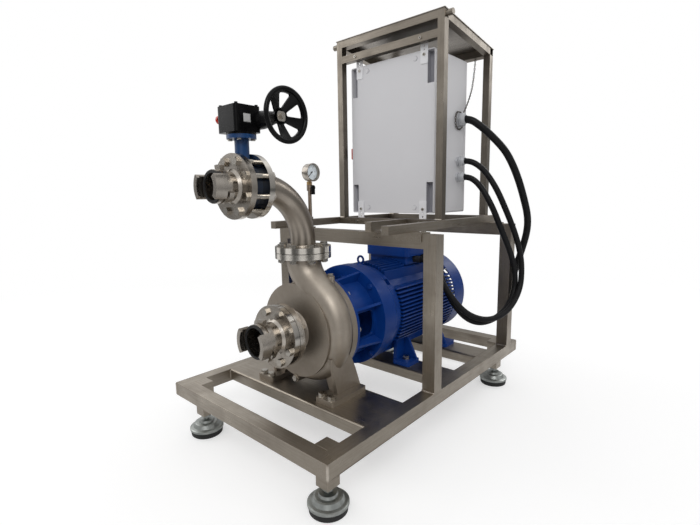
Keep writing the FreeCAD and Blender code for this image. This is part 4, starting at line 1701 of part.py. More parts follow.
def gaskets():
    """Flat flange gaskets and the rubber rings in the faces of the hose couplings."""
    face = DISCHARGE_Y - SUCTION_REACH
    add("gaskets", ring(SUCTION_BOLT_CIRCLE - FLANGE_BOLT - 2, SUCTION_BORE_RADIUS, V(0, face - GASKET, SHAFT_Z),
                        Y_AXIS, GASKET))
    add("gaskets", ring(DISCHARGE_BOLT_CIRCLE - FLANGE_BOLT - 2, PIPE_RADIUS - PIPE_WALL,
                        V(0, DISCHARGE_Y, SHAFT_Z + DISCHARGE_RISE), Z_AXIS, GASKET))
    for ring_face, radius, bore, z in ((SUCTION_RING_FACE, SUCTION_RING_RADIUS, SUCTION_BORE_RADIUS, SHAFT_Z),
                                       (OUTLET_RING_FACE, OUTLET_RING_RADIUS, OUTLET_BORE_RADIUS, OUTLET_Z)):
        add("gaskets", ring(radius - 2, bore, V(0, ring_face - SEAL_LIP, z), Y_AXIS, SEAL_LIP))


def bolt_with_nut(start, axis, grip, radius):
    """Through bolt: head before the start, shank over the grip, nut behind it."""
    across = radius * 3
    head = hexagon(across, start, -axis, radius * 1.25)
    shank = rod(radius, start, axis, grip + radius * 1.9)
    nut = hexagon(across, start + axis * grip, axis, radius * 1.6)
    return fuse([head, shank, nut])


def flange_bolts():
    """Bolts of the pipe flanges, casing, motor flange and valve, and the two plugs."""
    face = DISCHARGE_Y - SUCTION_REACH
    grip = 2 * SUCTION_FLANGE_THICK + GASKET
    for u, w in on_circle(8, SUCTION_BOLT_CIRCLE, 22.5):
        start = V(u, face - GASKET - SUCTION_FLANGE_THICK, SHAFT_Z + w)
        add("flange_bolts", bolt_with_nut(start, Y_AXIS, grip, FLANGE_BOLT))
    top = SHAFT_Z + DISCHARGE_RISE + GASKET + DISCHARGE_FLANGE_THICK
    grip = 2 * DISCHARGE_FLANGE_THICK + GASKET
    for u, w in on_circle(8, DISCHARGE_BOLT_CIRCLE, 22.5):
        add("flange_bolts", bolt_with_nut(V(u, DISCHARGE_Y + w, top), -Z_AXIS, grip, FLANGE_BOLT))
    start_y = VALVE_REAR_FACE - VALVE_WIDTH - DISCHARGE_FLANGE_THICK
    grip = VALVE_WIDTH + 2 * DISCHARGE_FLANGE_THICK
    for u, w in on_circle(8, DISCHARGE_BOLT_CIRCLE, 22.5):
        add("flange_bolts", bolt_with_nut(V(u, start_y, OUTLET_Z + w), Y_AXIS, grip, FLANGE_BOLT))
    for u, w in casing_bolts():
        start = V(u, LANTERN_RING_REAR, SHAFT_Z + w)
        head = hexagon(CASING_BOLT * 3, start, Y_AXIS, CASING_BOLT * 1.3)
        shank = rod(CASING_BOLT, start, -Y_AXIS, LANTERN_RING_REAR - CASING_FLANGE_FRONT)
        add("flange_bolts", fuse([head, shank]))
    grip = MOTOR_FLANGE_REAR - LANTERN_FLANGE_FRONT
    for u, w in motor_bolts():
        start = V(u, MOTOR_FLANGE_REAR, SHAFT_Z + w)
        add("flange_bolts", bolt_with_nut(start, -Y_AXIS, grip, CASING_BOLT))
    for u, w in on_circle(4, TOP_BOLT_CIRCLE, 45):
        start = V(u, stem_y() + w, NECK_TOP - TOP_FLANGE_THICK)
        head = hexagon(TOP_BOLT * 3, start, -Z_AXIS, TOP_BOLT * 1.3)
        shank = rod(TOP_BOLT, start, Z_AXIS, TOP_FLANGE_THICK + GEAR_BOTTOM - NECK_TOP + TOP_BOLT_DEPTH)
        add("flange_bolts", fuse([head, shank]))
    for place, axis in ((V(0, DRAIN_Y, DRAIN_Z), -Y_AXIS), (V(VENT_X, VENT_Y, VENT_Z), Z_AXIS)):
        head = hexagon(PLUG_SHANK * 2.4, place, axis, PLUG_HEAD)
        add("flange_bolts", fuse([head, rod(PLUG_SHANK, place, -axis, PLUG_DEPTH)]))


def gauge():
    """Pressure gauge on its riser: tube, cock with handle, case with dial and glass, pointer."""
    x = GAUGE_X
    y = GAUGE_Y
    foot = V(x, y, COCK_Z)
    seat = V(x, y, TAPPING_TOP - TAPPING_SEAT)
    tube = ring(GAUGE_TUBE_RADIUS, GAUGE_TUBE_BORE, seat, Z_AXIS, COCK_Z - seat.z)
    cock = fuse([rod(COCK_RADIUS, foot, Z_AXIS, COCK_HEIGHT),
                 rod(COCK_RADIUS * 0.8, foot + Z_AXIS * (COCK_HEIGHT / 2), X_AXIS, COCK_RADIUS + 3)])
    spindle_way = rod(COCK_SPINDLE + RUN_CLEAR, foot + Z_AXIS * (COCK_HEIGHT / 2), X_AXIS, COCK_RADIUS + 3)
    brass = foot + Z_AXIS * COCK_HEIGHT
    stem_top = GAUGE_Z - GAUGE_RADIUS + 3
    add("gauge_pipe", tube)
    add("gauge_pipe", cock.cut(spindle_way))
    add("gauge_pipe", hexagon(GAUGE_NUT, brass, Z_AXIS, stem_top - 3 - brass.z))
    spindle_start = foot + V(COCK_RADIUS + 3 + BODY_GAP, 0, COCK_HEIGHT / 2)
    spindle = rod(COCK_SPINDLE, spindle_start, -X_AXIS, COCK_RADIUS)
    hub = rod(COCK_RADIUS * 0.9, spindle_start, X_AXIS, 7)
    bar = box(spindle_start.x + 2, spindle_start.x + 7, y - 7, y + 7, spindle_start.z - HANDLE_LENGTH,
              spindle_start.z)
    add("cock_handle", fuse([spindle, hub, bar]))
    back = x + GAUGE_FORWARD - GAUGE_DEPTH / 2
    centre = V(back, y, GAUGE_Z)
    radius = GAUGE_RADIUS
    case = revolve_profile([(0, 0), (radius - 3, 0), (radius - 1, 2), (radius - 1, GAUGE_DEPTH - 7),
                            (radius, GAUGE_DEPTH - 6), (radius, GAUGE_DEPTH), (radius - 4, GAUGE_DEPTH),
                            (radius - 4, GAUGE_DIAL), (0, GAUGE_DIAL)], centre, X_AXIS)
    stem = rod(6, V(x, y, stem_top - 3), Z_AXIS, 8)
    pivot_way = rod(POINTER_PIVOT + RUN_CLEAR, centre + X_AXIS * (GAUGE_DIAL - 5), X_AXIS, 6)
    add("gauge_case", fuse([case, stem]).cut(pivot_way))
    add("gauge_case", rod(radius - 4, centre + X_AXIS * (GAUGE_DEPTH - 3), X_AXIS, 2))
    pin = centre + X_AXIS * (GAUGE_DIAL - 4)
    hub = rod(3.0, centre + X_AXIS * (GAUGE_DIAL + BODY_GAP), X_AXIS, 3)
    needle = box(pin.x + 5.5, pin.x + 6.5, y - 1, y + 1, GAUGE_Z - 6, GAUGE_Z + POINTER_LENGTH)
    pointer = fuse([rod(POINTER_PIVOT, pin, X_AXIS, 5), hub, needle])
    add("gauge_pointer", turned(pointer, centre, X_AXIS, POINTER_REST))


def cables():
    """Supply cable with its coil and plug, two motor cables and the chain."""
    add("supply_cable", swept_tube([V(*p) for p in SUPPLY_ROUTE], SUPPLY_CABLE_RADIUS, "supply cable"))
    add("motor_cable_upper", swept_tube([V(*p) for p in MOTOR_ROUTE_UPPER], MOTOR_CABLE_RADIUS, "upper motor cable"))
    add("motor_cable_lower", swept_tube([V(*p) for p in MOTOR_ROUTE_LOWER], MOTOR_CABLE_RADIUS, "lower motor cable"))
    add("gland_chain", swept_tube([V(*p) for p in CHAIN_ROUTE], CHAIN_RADIUS, "chain"))
    across = 2 * SUPPLY_CABLE_RADIUS * COIL_TURNS_ACROSS
    outer = COIL_RADIUS + across / 2
    base = V(COIL_CENTRE[0], COIL_CENTRE[1], 0)
    coil = ring(outer, outer - across, base, Z_AXIS, across)
    edges = [e for e in coil.Edges if e.BoundBox.ZLength < 0.1]
    add("supply_coil", coil.makeFillet(SUPPLY_CABLE_RADIUS - 1, edges))
    y = COIL_CENTRE[1] - outer + SUPPLY_CABLE_RADIUS
    start = V(COIL_CENTRE[0] - TAIL_OFFSET, y, PLUG_RADIUS)
    add("supply_cable", rod(SUPPLY_CABLE_RADIUS, start, -X_AXIS, TAIL_LENGTH))
    plug = V(start.x - TAIL_LENGTH, y, PLUG_RADIUS)
    outline = [(0, 0), (SUPPLY_CABLE_RADIUS + 3, 0), (SUPPLY_CABLE_RADIUS + 5, 18), (PLUG_RADIUS - 6, 30),
               (PLUG_RADIUS - 4, 96), (PLUG_RADIUS, 98), (PLUG_RADIUS, PLUG_LENGTH), (PLUG_RADIUS - 5, PLUG_LENGTH),
               (PLUG_RADIUS - 5, 112), (0, 112)]
    body = revolve_profile([(r, -h) for r, h in outline], plug, X_AXIS)
    pins = [rod(4, V(plug.x - PLUG_LENGTH + 8, y + u, PLUG_RADIUS + w), X_AXIS, PLUG_LENGTH - 112 - 4)
            for u, w in on_circle(5, PLUG_RADIUS * 0.5)]
    add("supply_plug", fuse([body] + pins))


def export():
    """Move every node so that the origin lies under the middle of the box, then write it."""
    front = OUTLET_RING_FACE - CLAW_REACH
    shift = V(0, -(front + HALF_LENGTH) / 2, 0)
    os.makedirs("parts", exist_ok=True)
    for name, solids in PARTS.items():
        pieces = []
        for shape in solids:
            copy = shape.copy()
            copy.translate(shift)
            pieces += copy.Solids
        result = pieces[0] if len(pieces) == 1 else Part.makeCompound(pieces)
        result.exportStep("parts/" + name + ".step")
    print("shift along Y", shift.y, "nodes", len(PARTS))


for build in (base_frame, levelling_feet, cross_beams, fixing_bolts, portals, support_rails, cage, cabinet_body,
              wall_brackets, cabinet_door, control_gear, main_switch, cable_glands, pump_casing, casing_cover,
              impeller, lantern, stator_housing, end_shields, rotor, fan_cover, terminal_box, lifting_eye,
              discharge_elbow, valve, worm_drive, gear_housing, handwheel, couplings, gaskets, flange_bolts,
              gauge, cables):
    build()
export()
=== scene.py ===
"""Looks of a skid mounted centrifugal pump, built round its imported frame."""

import json
import logging
import math
from dataclasses import dataclass, field
from enum import Enum
from typing import Any, Optional, Sequence, Union

import bmesh
import bpy
from mathutils import Matrix, Vector

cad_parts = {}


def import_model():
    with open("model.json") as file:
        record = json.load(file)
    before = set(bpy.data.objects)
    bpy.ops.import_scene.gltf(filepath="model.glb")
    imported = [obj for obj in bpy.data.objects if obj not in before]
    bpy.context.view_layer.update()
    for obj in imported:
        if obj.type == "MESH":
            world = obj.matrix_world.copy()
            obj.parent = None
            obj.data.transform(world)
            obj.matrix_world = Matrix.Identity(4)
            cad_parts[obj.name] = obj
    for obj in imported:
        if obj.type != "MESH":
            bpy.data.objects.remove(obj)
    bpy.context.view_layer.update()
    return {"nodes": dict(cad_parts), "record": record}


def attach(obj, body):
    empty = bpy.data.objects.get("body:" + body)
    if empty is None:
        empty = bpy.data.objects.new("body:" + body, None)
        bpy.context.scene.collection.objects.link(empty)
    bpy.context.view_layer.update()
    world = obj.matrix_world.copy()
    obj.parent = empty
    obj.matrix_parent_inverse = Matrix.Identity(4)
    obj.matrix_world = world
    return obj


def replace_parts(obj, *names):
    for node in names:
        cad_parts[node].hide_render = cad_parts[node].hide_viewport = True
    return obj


LOG = logging.getLogger("pump")
MM = 0.001
SHIFT_Y = 41.0
X_AXIS = Vector((1.0, 0.0, 0.0))
Z_AXIS = Vector((0.0, 0.0, 1.0))
MERGE_REACH = 1e-6

Point = tuple[float, float, float]
Colour = tuple[float, float, float]
Value = Union[float, Sequence[float], bpy.types.NodeSocket]


def place(point: Sequence[float]) -> Vector:
    """Turns a point of the drawing, in millimetres, into the frame's metres.

    Args:
        point: Place measured from the middle of the base frame.

    Returns:
        The same place in metres, from under the middle of the whole pump set.
    """
    return Vector((point[0] * MM, (point[1] + SHIFT_Y) * MM, point[2] * MM))


# Camera


@dataclass(frozen=True)
class PhotoCamera:
    """The camera at the photograph's viewing angle."""

    position: Point = (1158.8, -1393.9, 910.6)
    yaw: float = -0.7259
    pitch: float = -0.1517
    roll: float = -0.0157
    focal_pixels: float = 436.884
    image_width: float = 700.0
    sensor: float = 36.0
    near: float = 0.05
    far: float = 60.0

    def build(self) -> bpy.types.Object:
        """Makes the camera the scene's own.

        Returns:
            The camera object.
        """
        across = math.cos(self.pitch)
        forward = Vector((math.sin(self.yaw) * across, math.cos(self.yaw) * across, math.sin(self.pitch)))
        level = Vector((math.cos(self.yaw), -math.sin(self.yaw), 0.0))
        rise = level.cross(forward)
        right = math.cos(self.roll) * level + math.sin(self.roll) * rise
        upward = -math.sin(self.roll) * level + math.cos(self.roll) * rise
        data = bpy.data.cameras.new("photo_camera")
        data.sensor_width = self.sensor
        data.lens = self.sensor * self.focal_pixels / self.image_width
        data.clip_start = self.near
        data.clip_end = self.far
        camera = bpy.data.objects.new("photo_camera", data)
        turn = Matrix((right, upward, -forward)).transposed().to_4x4()
        camera.matrix_world = Matrix.Translation(place(self.position)) @ turn
        bpy.context.scene.collection.objects.link(camera)
        bpy.context.scene.camera = camera
        return camera


# Shader graph


class Graph:
    """Places nodes in one node tree and joins them."""

    def __init__(self, tree: bpy.types.NodeTree) -> None:
        """Keeps the tree that is worked on.

        Args:
            tree: Tree of a material, a world or a group.
        """
        self.tree = tree

    def add(self, kind: str, inputs: Optional[dict[Any, Value]] = None, **settings: Any) -> bpy.types.Node:
        """Adds one node.

        Args:
            kind: Type of the node.
            inputs: Values or sockets by input name or number.
            **settings: Attributes of the node.

        Returns:
            The new node.
        """
        node = self.tree.nodes.new(kind)
        for key, value in settings.items():
            setattr(node, key, value)
        self.fill(node.inputs, inputs or {})
        return node

    def fill(self, sockets: Any, values: dict[Any, Value]) -> None:
        """Sets several inputs of a node.

        Args:
            sockets: Inputs of the node.
            values: Values or sockets by input name or number.
        """
        for key, value in values.items():
            self.put(sockets[key], value)

    def put(self, socket: bpy.types.NodeSocket, value: Value) -> None:
        """Joins a socket to another one or gives it a value.

        Args:
            socket: Input that is set.
            value: Another node's output, or a plain value.
        """
        if isinstance(value, bpy.types.NodeSocket):
            self.tree.links.new(value, socket)
        elif isinstance(value, (tuple, list)) and len(value) == 3 and socket.type == "RGBA":
            socket.default_value = (*value, 1.0)
        else:
            socket.default_value = value

    def math(self, operation: str, first: Value, second: Value = 0.0) -> bpy.types.NodeSocket:
        """Works out one operation on numbers.

        Args:
            operation: Name of the operation.
            first: First operand.
            second: Second operand.

        Returns:
            The result.
        """
        return self.add("ShaderNodeMath", {0: first, 1: second}, operation=operation).outputs[0]

    def vector_math(
        self, operation: str, first: Value, second: Value = (0.0, 0.0, 0.0)
    ) -> bpy.types.NodeSocket:
        """Works out one operation on vectors.

        Args:
            operation: Name of the operation.
            first: First operand.
            second: Second operand.

        Returns:
            The resulting vector.
        """
        return self.add("ShaderNodeVectorMath", {0: first, 1: second}, operation=operation).outputs[0]

    def parts(self, vector: Value) -> Any:
        """Splits a vector.

        Args:
            vector: Vector that is split.

        Returns:
            Its three numbers, as sockets.
        """
        return self.add("ShaderNodeSeparateXYZ", {0: vector}).outputs

    def length(self, vector: Value) -> bpy.types.NodeSocket:
        """Measures a vector.

        Args:
            vector: Vector that is measured.

        Returns:
            Its length.
        """
        return self.add("ShaderNodeVectorMath", {0: vector}, operation="LENGTH").outputs["Value"]

    def noise(
        self, vector: Value, scale: Value, detail: float = 3.0, rough: float = 0.55
    ) -> bpy.types.NodeSocket:
        """Adds a noise pattern.

        Args:
            vector: Place that is read.
            scale: Features a metre.
            detail: Number of finer layers.
            rough: Weight of the finer layers.

        Returns:
            The pattern, from 0 to 1.
        """
        inputs = {"Vector": vector, "Scale": scale, "Detail": detail, "Roughness": rough}
        return self.add("ShaderNodeTexNoise", inputs).outputs["Fac"]

    def span(
        self, value: Value, low: Value, high: Value, start: Value = 0.0, end: Value = 1.0
    ) -> bpy.types.NodeSocket:
        """Maps a number from one range to another and keeps it inside.

        Args:
            value: Number that is mapped.
            low: Start of its range.
            high: End of its range.
            start: Result at low.
            end: Result at high.

        Returns:
            The mapped number.
        """
        inputs = {"Value": value, "From Min": low, "From Max": high, "To Min": start, "To Max": end}
        return self.add("ShaderNodeMapRange", inputs).outputs["Result"]

    def mix(self, factor: Value, first: Value, second: Value) -> bpy.types.NodeSocket:
        """Mixes two colours.

        Args:
            factor: Share of the second colour.
            first: First colour.
            second: Second colour.

        Returns:
            The mixed colour.
        """
        node = self.add("ShaderNodeMix", data_type="RGBA")
        self.put(node.inputs[0], factor)
        self.put(node.inputs[6], first)
        self.put(node.inputs[7], second)
        return node.outputs[2]

    def blend(self, factor: Value, first: Value, second: Value) -> bpy.types.NodeSocket:
        """Mixes two numbers.

        Args:
            factor: Share of the second number.
            first: First number.
            second: Second number.

        Returns:
            The mixed number.
        """
        return self.add("ShaderNodeMix", {0: factor, 2: first, 3: second}, data_type="FLOAT").outputs[0]

    def result(self, value: Value) -> None:
        """Makes a number the result of a group.

        Args:
            value: Number that the group gives.
        """
        self.put(self.add("NodeGroupOutput").inputs["Fac"], value)


class Effects:
    """Node groups that several finishes share, each built once, with a vector in and a number out."""

    made: dict[str, bpy.types.NodeTree] = {}

    @classmethod
    def start(cls, name: str, **inputs: Value) -> tuple[Graph, Any]:
        """Begins a group with its sockets.

        Args:
            name: Name of the group.
            **inputs: Default values by socket name; three numbers make a vector.

        Returns:
            The graph and the sockets of the group's input node.
        """
        tree = bpy.data.node_groups.new(name, "ShaderNodeTree")
        for key, value in {"Vector": (0.0, 0.0, 0.0), **inputs}.items():
            kind = "NodeSocketVector" if isinstance(value, tuple) else "NodeSocketFloat"
            tree.interface.new_socket(key, in_out="INPUT", socket_type=kind).default_value = value
        tree.interface.new_socket("Fac", in_out="OUTPUT", socket_type="NodeSocketFloat")
        cls.made[name] = tree
        graph = Graph(tree)
        return graph, graph.add("NodeGroupInput").outputs

    @classmethod
    def use(cls, graph: Graph, name: str, vector: Value, **inputs: Value) -> bpy.types.NodeSocket:
        """Places a group in a graph, and builds it when it is used for the first time.

        Args:
            graph: Graph that gets the group.
            name: Name of the group, which is also the name of its method.
            vector: Vector that the group reads.
            **inputs: Values or sockets by input name.

        Returns:
            The group's result.
        """
        if name not in cls.made:
            getattr(cls, name)()
        values = {"Vector": vector, **inputs}
        return graph.add("ShaderNodeGroup", values, node_tree=cls.made[name]).outputs["Fac"]

    @classmethod
    def brushed(cls) -> None:
        """Long fine lines, along one direction beyond a distance to the side and another within it."""
        graph, given = cls.start("brushed", Outer=(1.0, 1.0, 1.0), Inner=(1.0, 1.0, 1.0), Limit=0.0)
        aside = graph.math("ABSOLUTE", graph.parts(given["Vector"])[0])
        layers = []
        for key in ("Inner", "Outer"):
            stretched = graph.vector_math("MULTIPLY", given["Vector"], given[key])
            broad = graph.span(graph.noise(stretched, 0.17, 2.0), 0.3, 0.7)
            layers.append(graph.blend(0.45, broad, graph.noise(stretched, 1.0, 2.0)))
        graph.result(graph.blend(graph.math("GREATER_THAN", aside, given["Limit"]), *layers))

    @classmethod
    def blasted(cls) -> None:
        """Even fine pits of blasted or cast metal."""
        graph, given = cls.start("blasted", Pitch=900.0)
        fine = graph.noise(given["Vector"], given["Pitch"], 2.0, 0.6)
        coarse = graph.noise(given["Vector"], graph.math("MULTIPLY", given["Pitch"], 0.12))
        graph.result(graph.blend(0.45, fine, coarse))

    @classmethod
    def peel(cls) -> None:
        """Soft waves of sprayed paint with a few specks."""
        graph, given = cls.start("peel", Pitch=320.0)
        waves = graph.noise(given["Vector"], given["Pitch"], 1.0, 0.4)
        cells = graph.add("ShaderNodeTexVoronoi", {"Vector": given["Vector"], "Scale": 260.0})
        specks = graph.span(cells.outputs["Distance"], 0.0, 0.12, 1.0, 0.0)
        graph.result(graph.blend(0.15, waves, specks))

    @classmethod
    def smudge(cls) -> None:
        """Broad uneven areas such as wiping marks and handling leave."""
        graph, given = cls.start("smudge", Scale=6.0, Contrast=0.25)
        low = graph.math("SUBTRACT", 0.5, given["Contrast"])
        high = graph.math("ADD", 0.5, given["Contrast"])
        graph.result(graph.span(graph.noise(given["Vector"], given["Scale"], 4.0, 0.6), low, high))

    @classmethod
    def dust(cls) -> None:
        """Dust that settles on what faces up, uneven as it is in a workshop."""
        graph, given = cls.start("dust", Amount=0.3)
        normal = graph.add("ShaderNodeNewGeometry").outputs["Normal"]
        upward = graph.span(graph.parts(normal)[2], 0.35, 0.95)
        patches = graph.span(graph.noise(given["Vector"], 45.0, 5.0, 0.65), 0.35, 0.7, 0.3, 1.0)
        graph.result(graph.math("MULTIPLY", graph.math("MULTIPLY", upward, patches), given["Amount"]))

    @classmethod
    def windows(cls) -> None:
        """Upright bands of light and shade all round, such as rims and bolts mirror in a workshop."""
        graph, given = cls.start("windows", Count=5.0, Low=0.5, High=1.4)
        parts = graph.parts(given["Vector"])
        heading = graph.math("ARCTAN2", parts[1], parts[0])
        wave = graph.math("SINE", graph.math("MULTIPLY", heading, given["Count"]))
        graph.result(graph.span(wave, -0.3, 0.45, given["Low"], given["High"]))

    @classmethod
    def box_zone(cls) -> None:
        """One inside a box and nothing outside it."""
        graph, given = cls.start("box_zone", Centre=(0.0, 0.0, 0.0), Half=(1.0, 1.0, 1.0))
        away = graph.vector_math("SUBTRACT", given["Vector"], given["Centre"])
        away = graph.vector_math("ABSOLUTE", away)
        beyond = graph.parts(graph.vector_math("SUBTRACT", away, given["Half"]))
        most = graph.math("MAXIMUM", graph.math("MAXIMUM", beyond[0], beyond[1]), beyond[2])
        graph.result(graph.math("LESS_THAN", most, 0.0))

    @classmethod
    def ring_zone(cls) -> None:
        """One within a radius of an axis along Y or Z, chosen by the weights, and nothing outside it."""
        graph, given = cls.start("ring_zone", Centre=(0.0, 0.0, 0.0), Weights=(1.0, 0.0, 1.0), Radius=0.1)
        away = graph.vector_math("SUBTRACT", given["Vector"], given["Centre"])
        reach = graph.length(graph.vector_math("MULTIPLY", away, given["Weights"]))
        graph.result(graph.math("LESS_THAN", reach, given["Radius"]))


def new_material(name: str) -> tuple[bpy.types.Material, Graph, Any]:
    """Starts a material.

    Args:
        name: Name of the material.

    Returns:
        The material, its graph and the inputs of its shader.
    """
    material = bpy.data.materials.new(name)
    material.use_nodes = True
    return material, Graph(material.node_tree), material.node_tree.nodes["Principled BSDF"].inputs


# Finishes

ALONG_X: Point = (50.0, 1300.0, 1300.0)
ALONG_Y: Point = (1300.0, 50.0, 1300.0)
ALONG_Z: Point = (1300.0, 1300.0, 50.0)
LINES: Point = (60.0, 60.0, 1500.0)
DUST_COLOUR: Colour = (0.42, 0.4, 0.37)
DUST_ROUGHNESS = 0.85
BUMP_STRENGTH = 0.6
COAT_ROUGHNESS = 0.12
TUBE_LIGHT: Colour = (0.42, 0.375, 0.315)
TUBE_DARK: Colour = (0.22, 0.19, 0.157)


class Grain(Enum):
    """Fine structure of a surface."""

    BRUSHED = "brushed"
    BLASTED = "blasted"
    PEEL = "peel"


@dataclass
class Channels:
    """What one finish gives to the shader."""

    colour: Value
    roughness: Value
    metallic: Value
    height: Value
    coat: Value


@dataclass(frozen=True)
class Finish:
    """One surface finish, as a painter or a metal shop would name it; a few stand for painted shade instead.
    """

    name: str
    colour: Colour
    tint: Colour
    roughness: float
    spread: float
    metallic: float
    grain: Grain = Grain.BLASTED
    pitch: float = 900.0
    depth: float = 0.0001
    coat: float = 0.0
    dust: float = 0.0
    outer: Point = LINES
    inner: Point = LINES
    limit: float = 0.0
    specular: float = 0.5
    smudge_scale: float = 6.0
    grain_colour: float = 0.25

    def channels(self, graph: Graph, vector: Value) -> Channels:
        """Builds the finish in a graph.

        Args:
            graph: Graph of the material.
            vector: Object coordinates.

        Returns:
            The sockets and numbers that feed the shader.
        """
        inputs = {"Pitch": self.pitch}
        if self.grain is Grain.BRUSHED:
            inputs = {"Outer": self.outer, "Inner": self.inner, "Limit": self.limit}
        grain = Effects.use(graph, self.grain.value, vector, **inputs)
        smudge = Effects.use(graph, "smudge", vector, Scale=self.smudge_scale)
        colour = graph.mix(graph.blend(self.grain_colour, smudge, grain), self.colour, self.tint)
        low = self.roughness - self.spread
        high = self.roughness + self.spread
        roughness = graph.span(graph.blend(0.5, smudge, grain), 0.2, 0.8, low, high)
        if self.dust:
            settled = Effects.use(graph, "dust", vector, Amount=self.dust)
            colour = graph.mix(settled, colour, DUST_COLOUR)
            roughness = graph.blend(settled, roughness, DUST_ROUGHNESS)
        return Channels(colour, roughness, self.metallic, grain, self.coat)


@dataclass(frozen=True)
class Zone:
    """Part of a node that has another finish, in millimetres of the drawing."""

    finish: Finish
    low: Point
    high: Point
    radius: float = 0.0
    axis: str = ""

    def mask(self, graph: Graph, vector: Value) -> bpy.types.NodeSocket:
        """Builds the zone's mask.

        Args:
            graph: Graph of the material.
            vector: Object coordinates.

        Returns:
            One inside the zone.
        """
        low, high = place(self.low), place(self.high)
        centre = tuple((low + high) / 2)
        box = Effects.use(graph, "box_zone", vector, Centre=centre, Half=tuple((high - low) / 2))
        if not self.axis:
            return box
        weights = tuple(0.0 if letter == self.axis else 1.0 for letter in "XYZ")
        reach = self.radius * MM
        ring = Effects.use(graph, "ring_zone", vector, Centre=centre, Weights=weights, Radius=reach)
        return graph.math("MULTIPLY", box, ring)


@dataclass(frozen=True)
class Coating:
    """A material made of one finish and the zones that differ from it."""

    name: str
    finish: Finish
    zones: tuple[Zone, ...] = ()

    def build(self) -> bpy.types.Material:
        """Makes the material.

        Returns:
            The new material.
        """
        material, graph, shader = new_material(self.name)
        vector = graph.add("ShaderNodeTexCoord").outputs["Object"]
        base = self.finish.channels(graph, vector)
        for zone in self.zones:
            mask = zone.mask(graph, vector)
            other = zone.finish.channels(graph, vector)
            base.colour = graph.mix(mask, base.colour, other.colour)
            for channel in ("roughness", "metallic", "coat", "height"):
                ours, theirs = getattr(base, channel), getattr(other, channel)
                if ours != theirs:
                    setattr(base, channel, graph.blend(mask, ours, theirs))
        relief = {"Height": base.height, "Distance": self.finish.depth, "Strength": BUMP_STRENGTH}
        values = {
            "Base Color": base.colour,
            "Roughness": base.roughness,
            "Metallic": base.metallic,
            "Coat Weight": base.coat,
            "Coat Roughness": COAT_ROUGHNESS,
            "Specular IOR Level": self.finish.specular,
            "Normal": graph.add("ShaderNodeBump", relief).outputs["Normal"],
        }
        graph.fill(shader, values)
        return material


def tube_finish(name: str, outer: Point, inner: Point, limit: float, shade: float = 1.0) -> Finish:
    """Brushed stainless tube whose lines follow its members.

    Args:
        name: Name of the finish.
        outer: Line stretch beyond the limit.
        inner: Line stretch within the limit.
        limit: Distance from the middle plane, in metres.
        shade: Painted shade, a factor that darkens the steel against the base frame.

    Returns:
        The finish.
    """
    light = tuple(value * shade for value in TUBE_LIGHT)
    dark = tuple(value * shade for value in TUBE_DARK)
    return Finish(
        name, light, dark, 0.36, 0.12, 1.0, Grain.BRUSHED, depth=0.00006, dust=0.05,
        outer=outer, inner=inner, limit=limit, smudge_scale=9.0, grain_colour=0.45,
    )


BASE_TUBE = tube_finish("base_tube", ALONG_Y, ALONG_X, 0.357)
PORTAL_TUBE = tube_finish("portal_tube", ALONG_Z, ALONG_X, 0.357)
# Painted shade: the cage uses the base frame's steel darkened to 0.7.
CAGE_TUBE_PAINTED_SHADE = tube_finish("cage_tube_painted_shade", ALONG_Z, ALONG_X, 0.244, 0.7)
RAIL_TUBE = tube_finish("rail_tube", ALONG_Y, ALONG_Y, 0.0)
BEAM_SHEET = tube_finish("beam_sheet", ALONG_X, ALONG_X, 0.0)
ROOF = Finish("roof_sheet", (0.3, 0.275, 0.245), (0.16, 0.145, 0.13), 0.3, 0.08, 1.0, Grain.BRUSHED,
              depth=0.00005, outer=ALONG_X, inner=ALONG_X)
CAST = Finish("blasted_casting", (0.42, 0.375, 0.32), (0.25, 0.215, 0.18), 0.5, 0.08, 1.0,
              pitch=750.0, depth=0.0004, smudge_scale=8.0, grain_colour=0.4)
PIPE = Finish("satin_pipe", (0.36, 0.32, 0.275), (0.21, 0.182, 0.152), 0.33, 0.08, 1.0,
              pitch=1100.0, smudge_scale=10.0)
BRIGHT = Finish("turned_rim", (0.68, 0.65, 0.6), (0.48, 0.45, 0.41), 0.13, 0.06, 1.0,
                pitch=1500.0, depth=0.00004, smudge_scale=18.0)
SATIN = Finish("satin_steel", (0.5, 0.462, 0.415), (0.27, 0.242, 0.21), 0.27, 0.09, 1.0,
               pitch=1100.0, depth=0.00008, smudge_scale=22.0)
BOLT = Finish("bright_fastener", (0.56, 0.53, 0.48), (0.32, 0.295, 0.262), 0.25, 0.08, 1.0,
              pitch=1600.0, depth=0.00006, smudge_scale=60.0)
ZINC = Finish("zinc_plate", (0.4, 0.415, 0.4), (0.24, 0.255, 0.245), 0.43, 0.1, 1.0,
              pitch=500.0, smudge_scale=35.0)
PAD_RUBBER = Finish("pad_rubber", (0.006, 0.006, 0.006), (0.014, 0.014, 0.014), 0.72, 0.1, 0.0,
                    pitch=700.0, depth=0.0002, dust=0.04, specular=0.15)
INNER = Finish("turned_steel", (0.42, 0.42, 0.42), (0.3, 0.3, 0.3), 0.3, 0.08, 1.0,
               pitch=1300.0, depth=0.00005)
COPPER = Finish("winding_copper", (0.55, 0.22, 0.09), (0.35, 0.13, 0.05), 0.4, 0.1, 1.0, Grain.BRUSHED,
                depth=0.0003, outer=ALONG_Y, inner=ALONG_Y)
BLUE = Finish("motor_blue", (0.0025, 0.033, 0.2), (0.004, 0.048, 0.26), 0.36, 0.08, 0.0, Grain.PEEL,
              pitch=260.0, depth=0.00035, coat=0.05, dust=0.02, smudge_scale=12.0, specular=0.17)
VALVE_BLUE = Finish("valve_blue", (0.006, 0.04, 0.135), (0.009, 0.06, 0.185), 0.36, 0.08, 0.0, Grain.PEEL,
                    pitch=420.0, depth=0.0004, coat=0.1, dust=0.05, smudge_scale=25.0, specular=0.35)
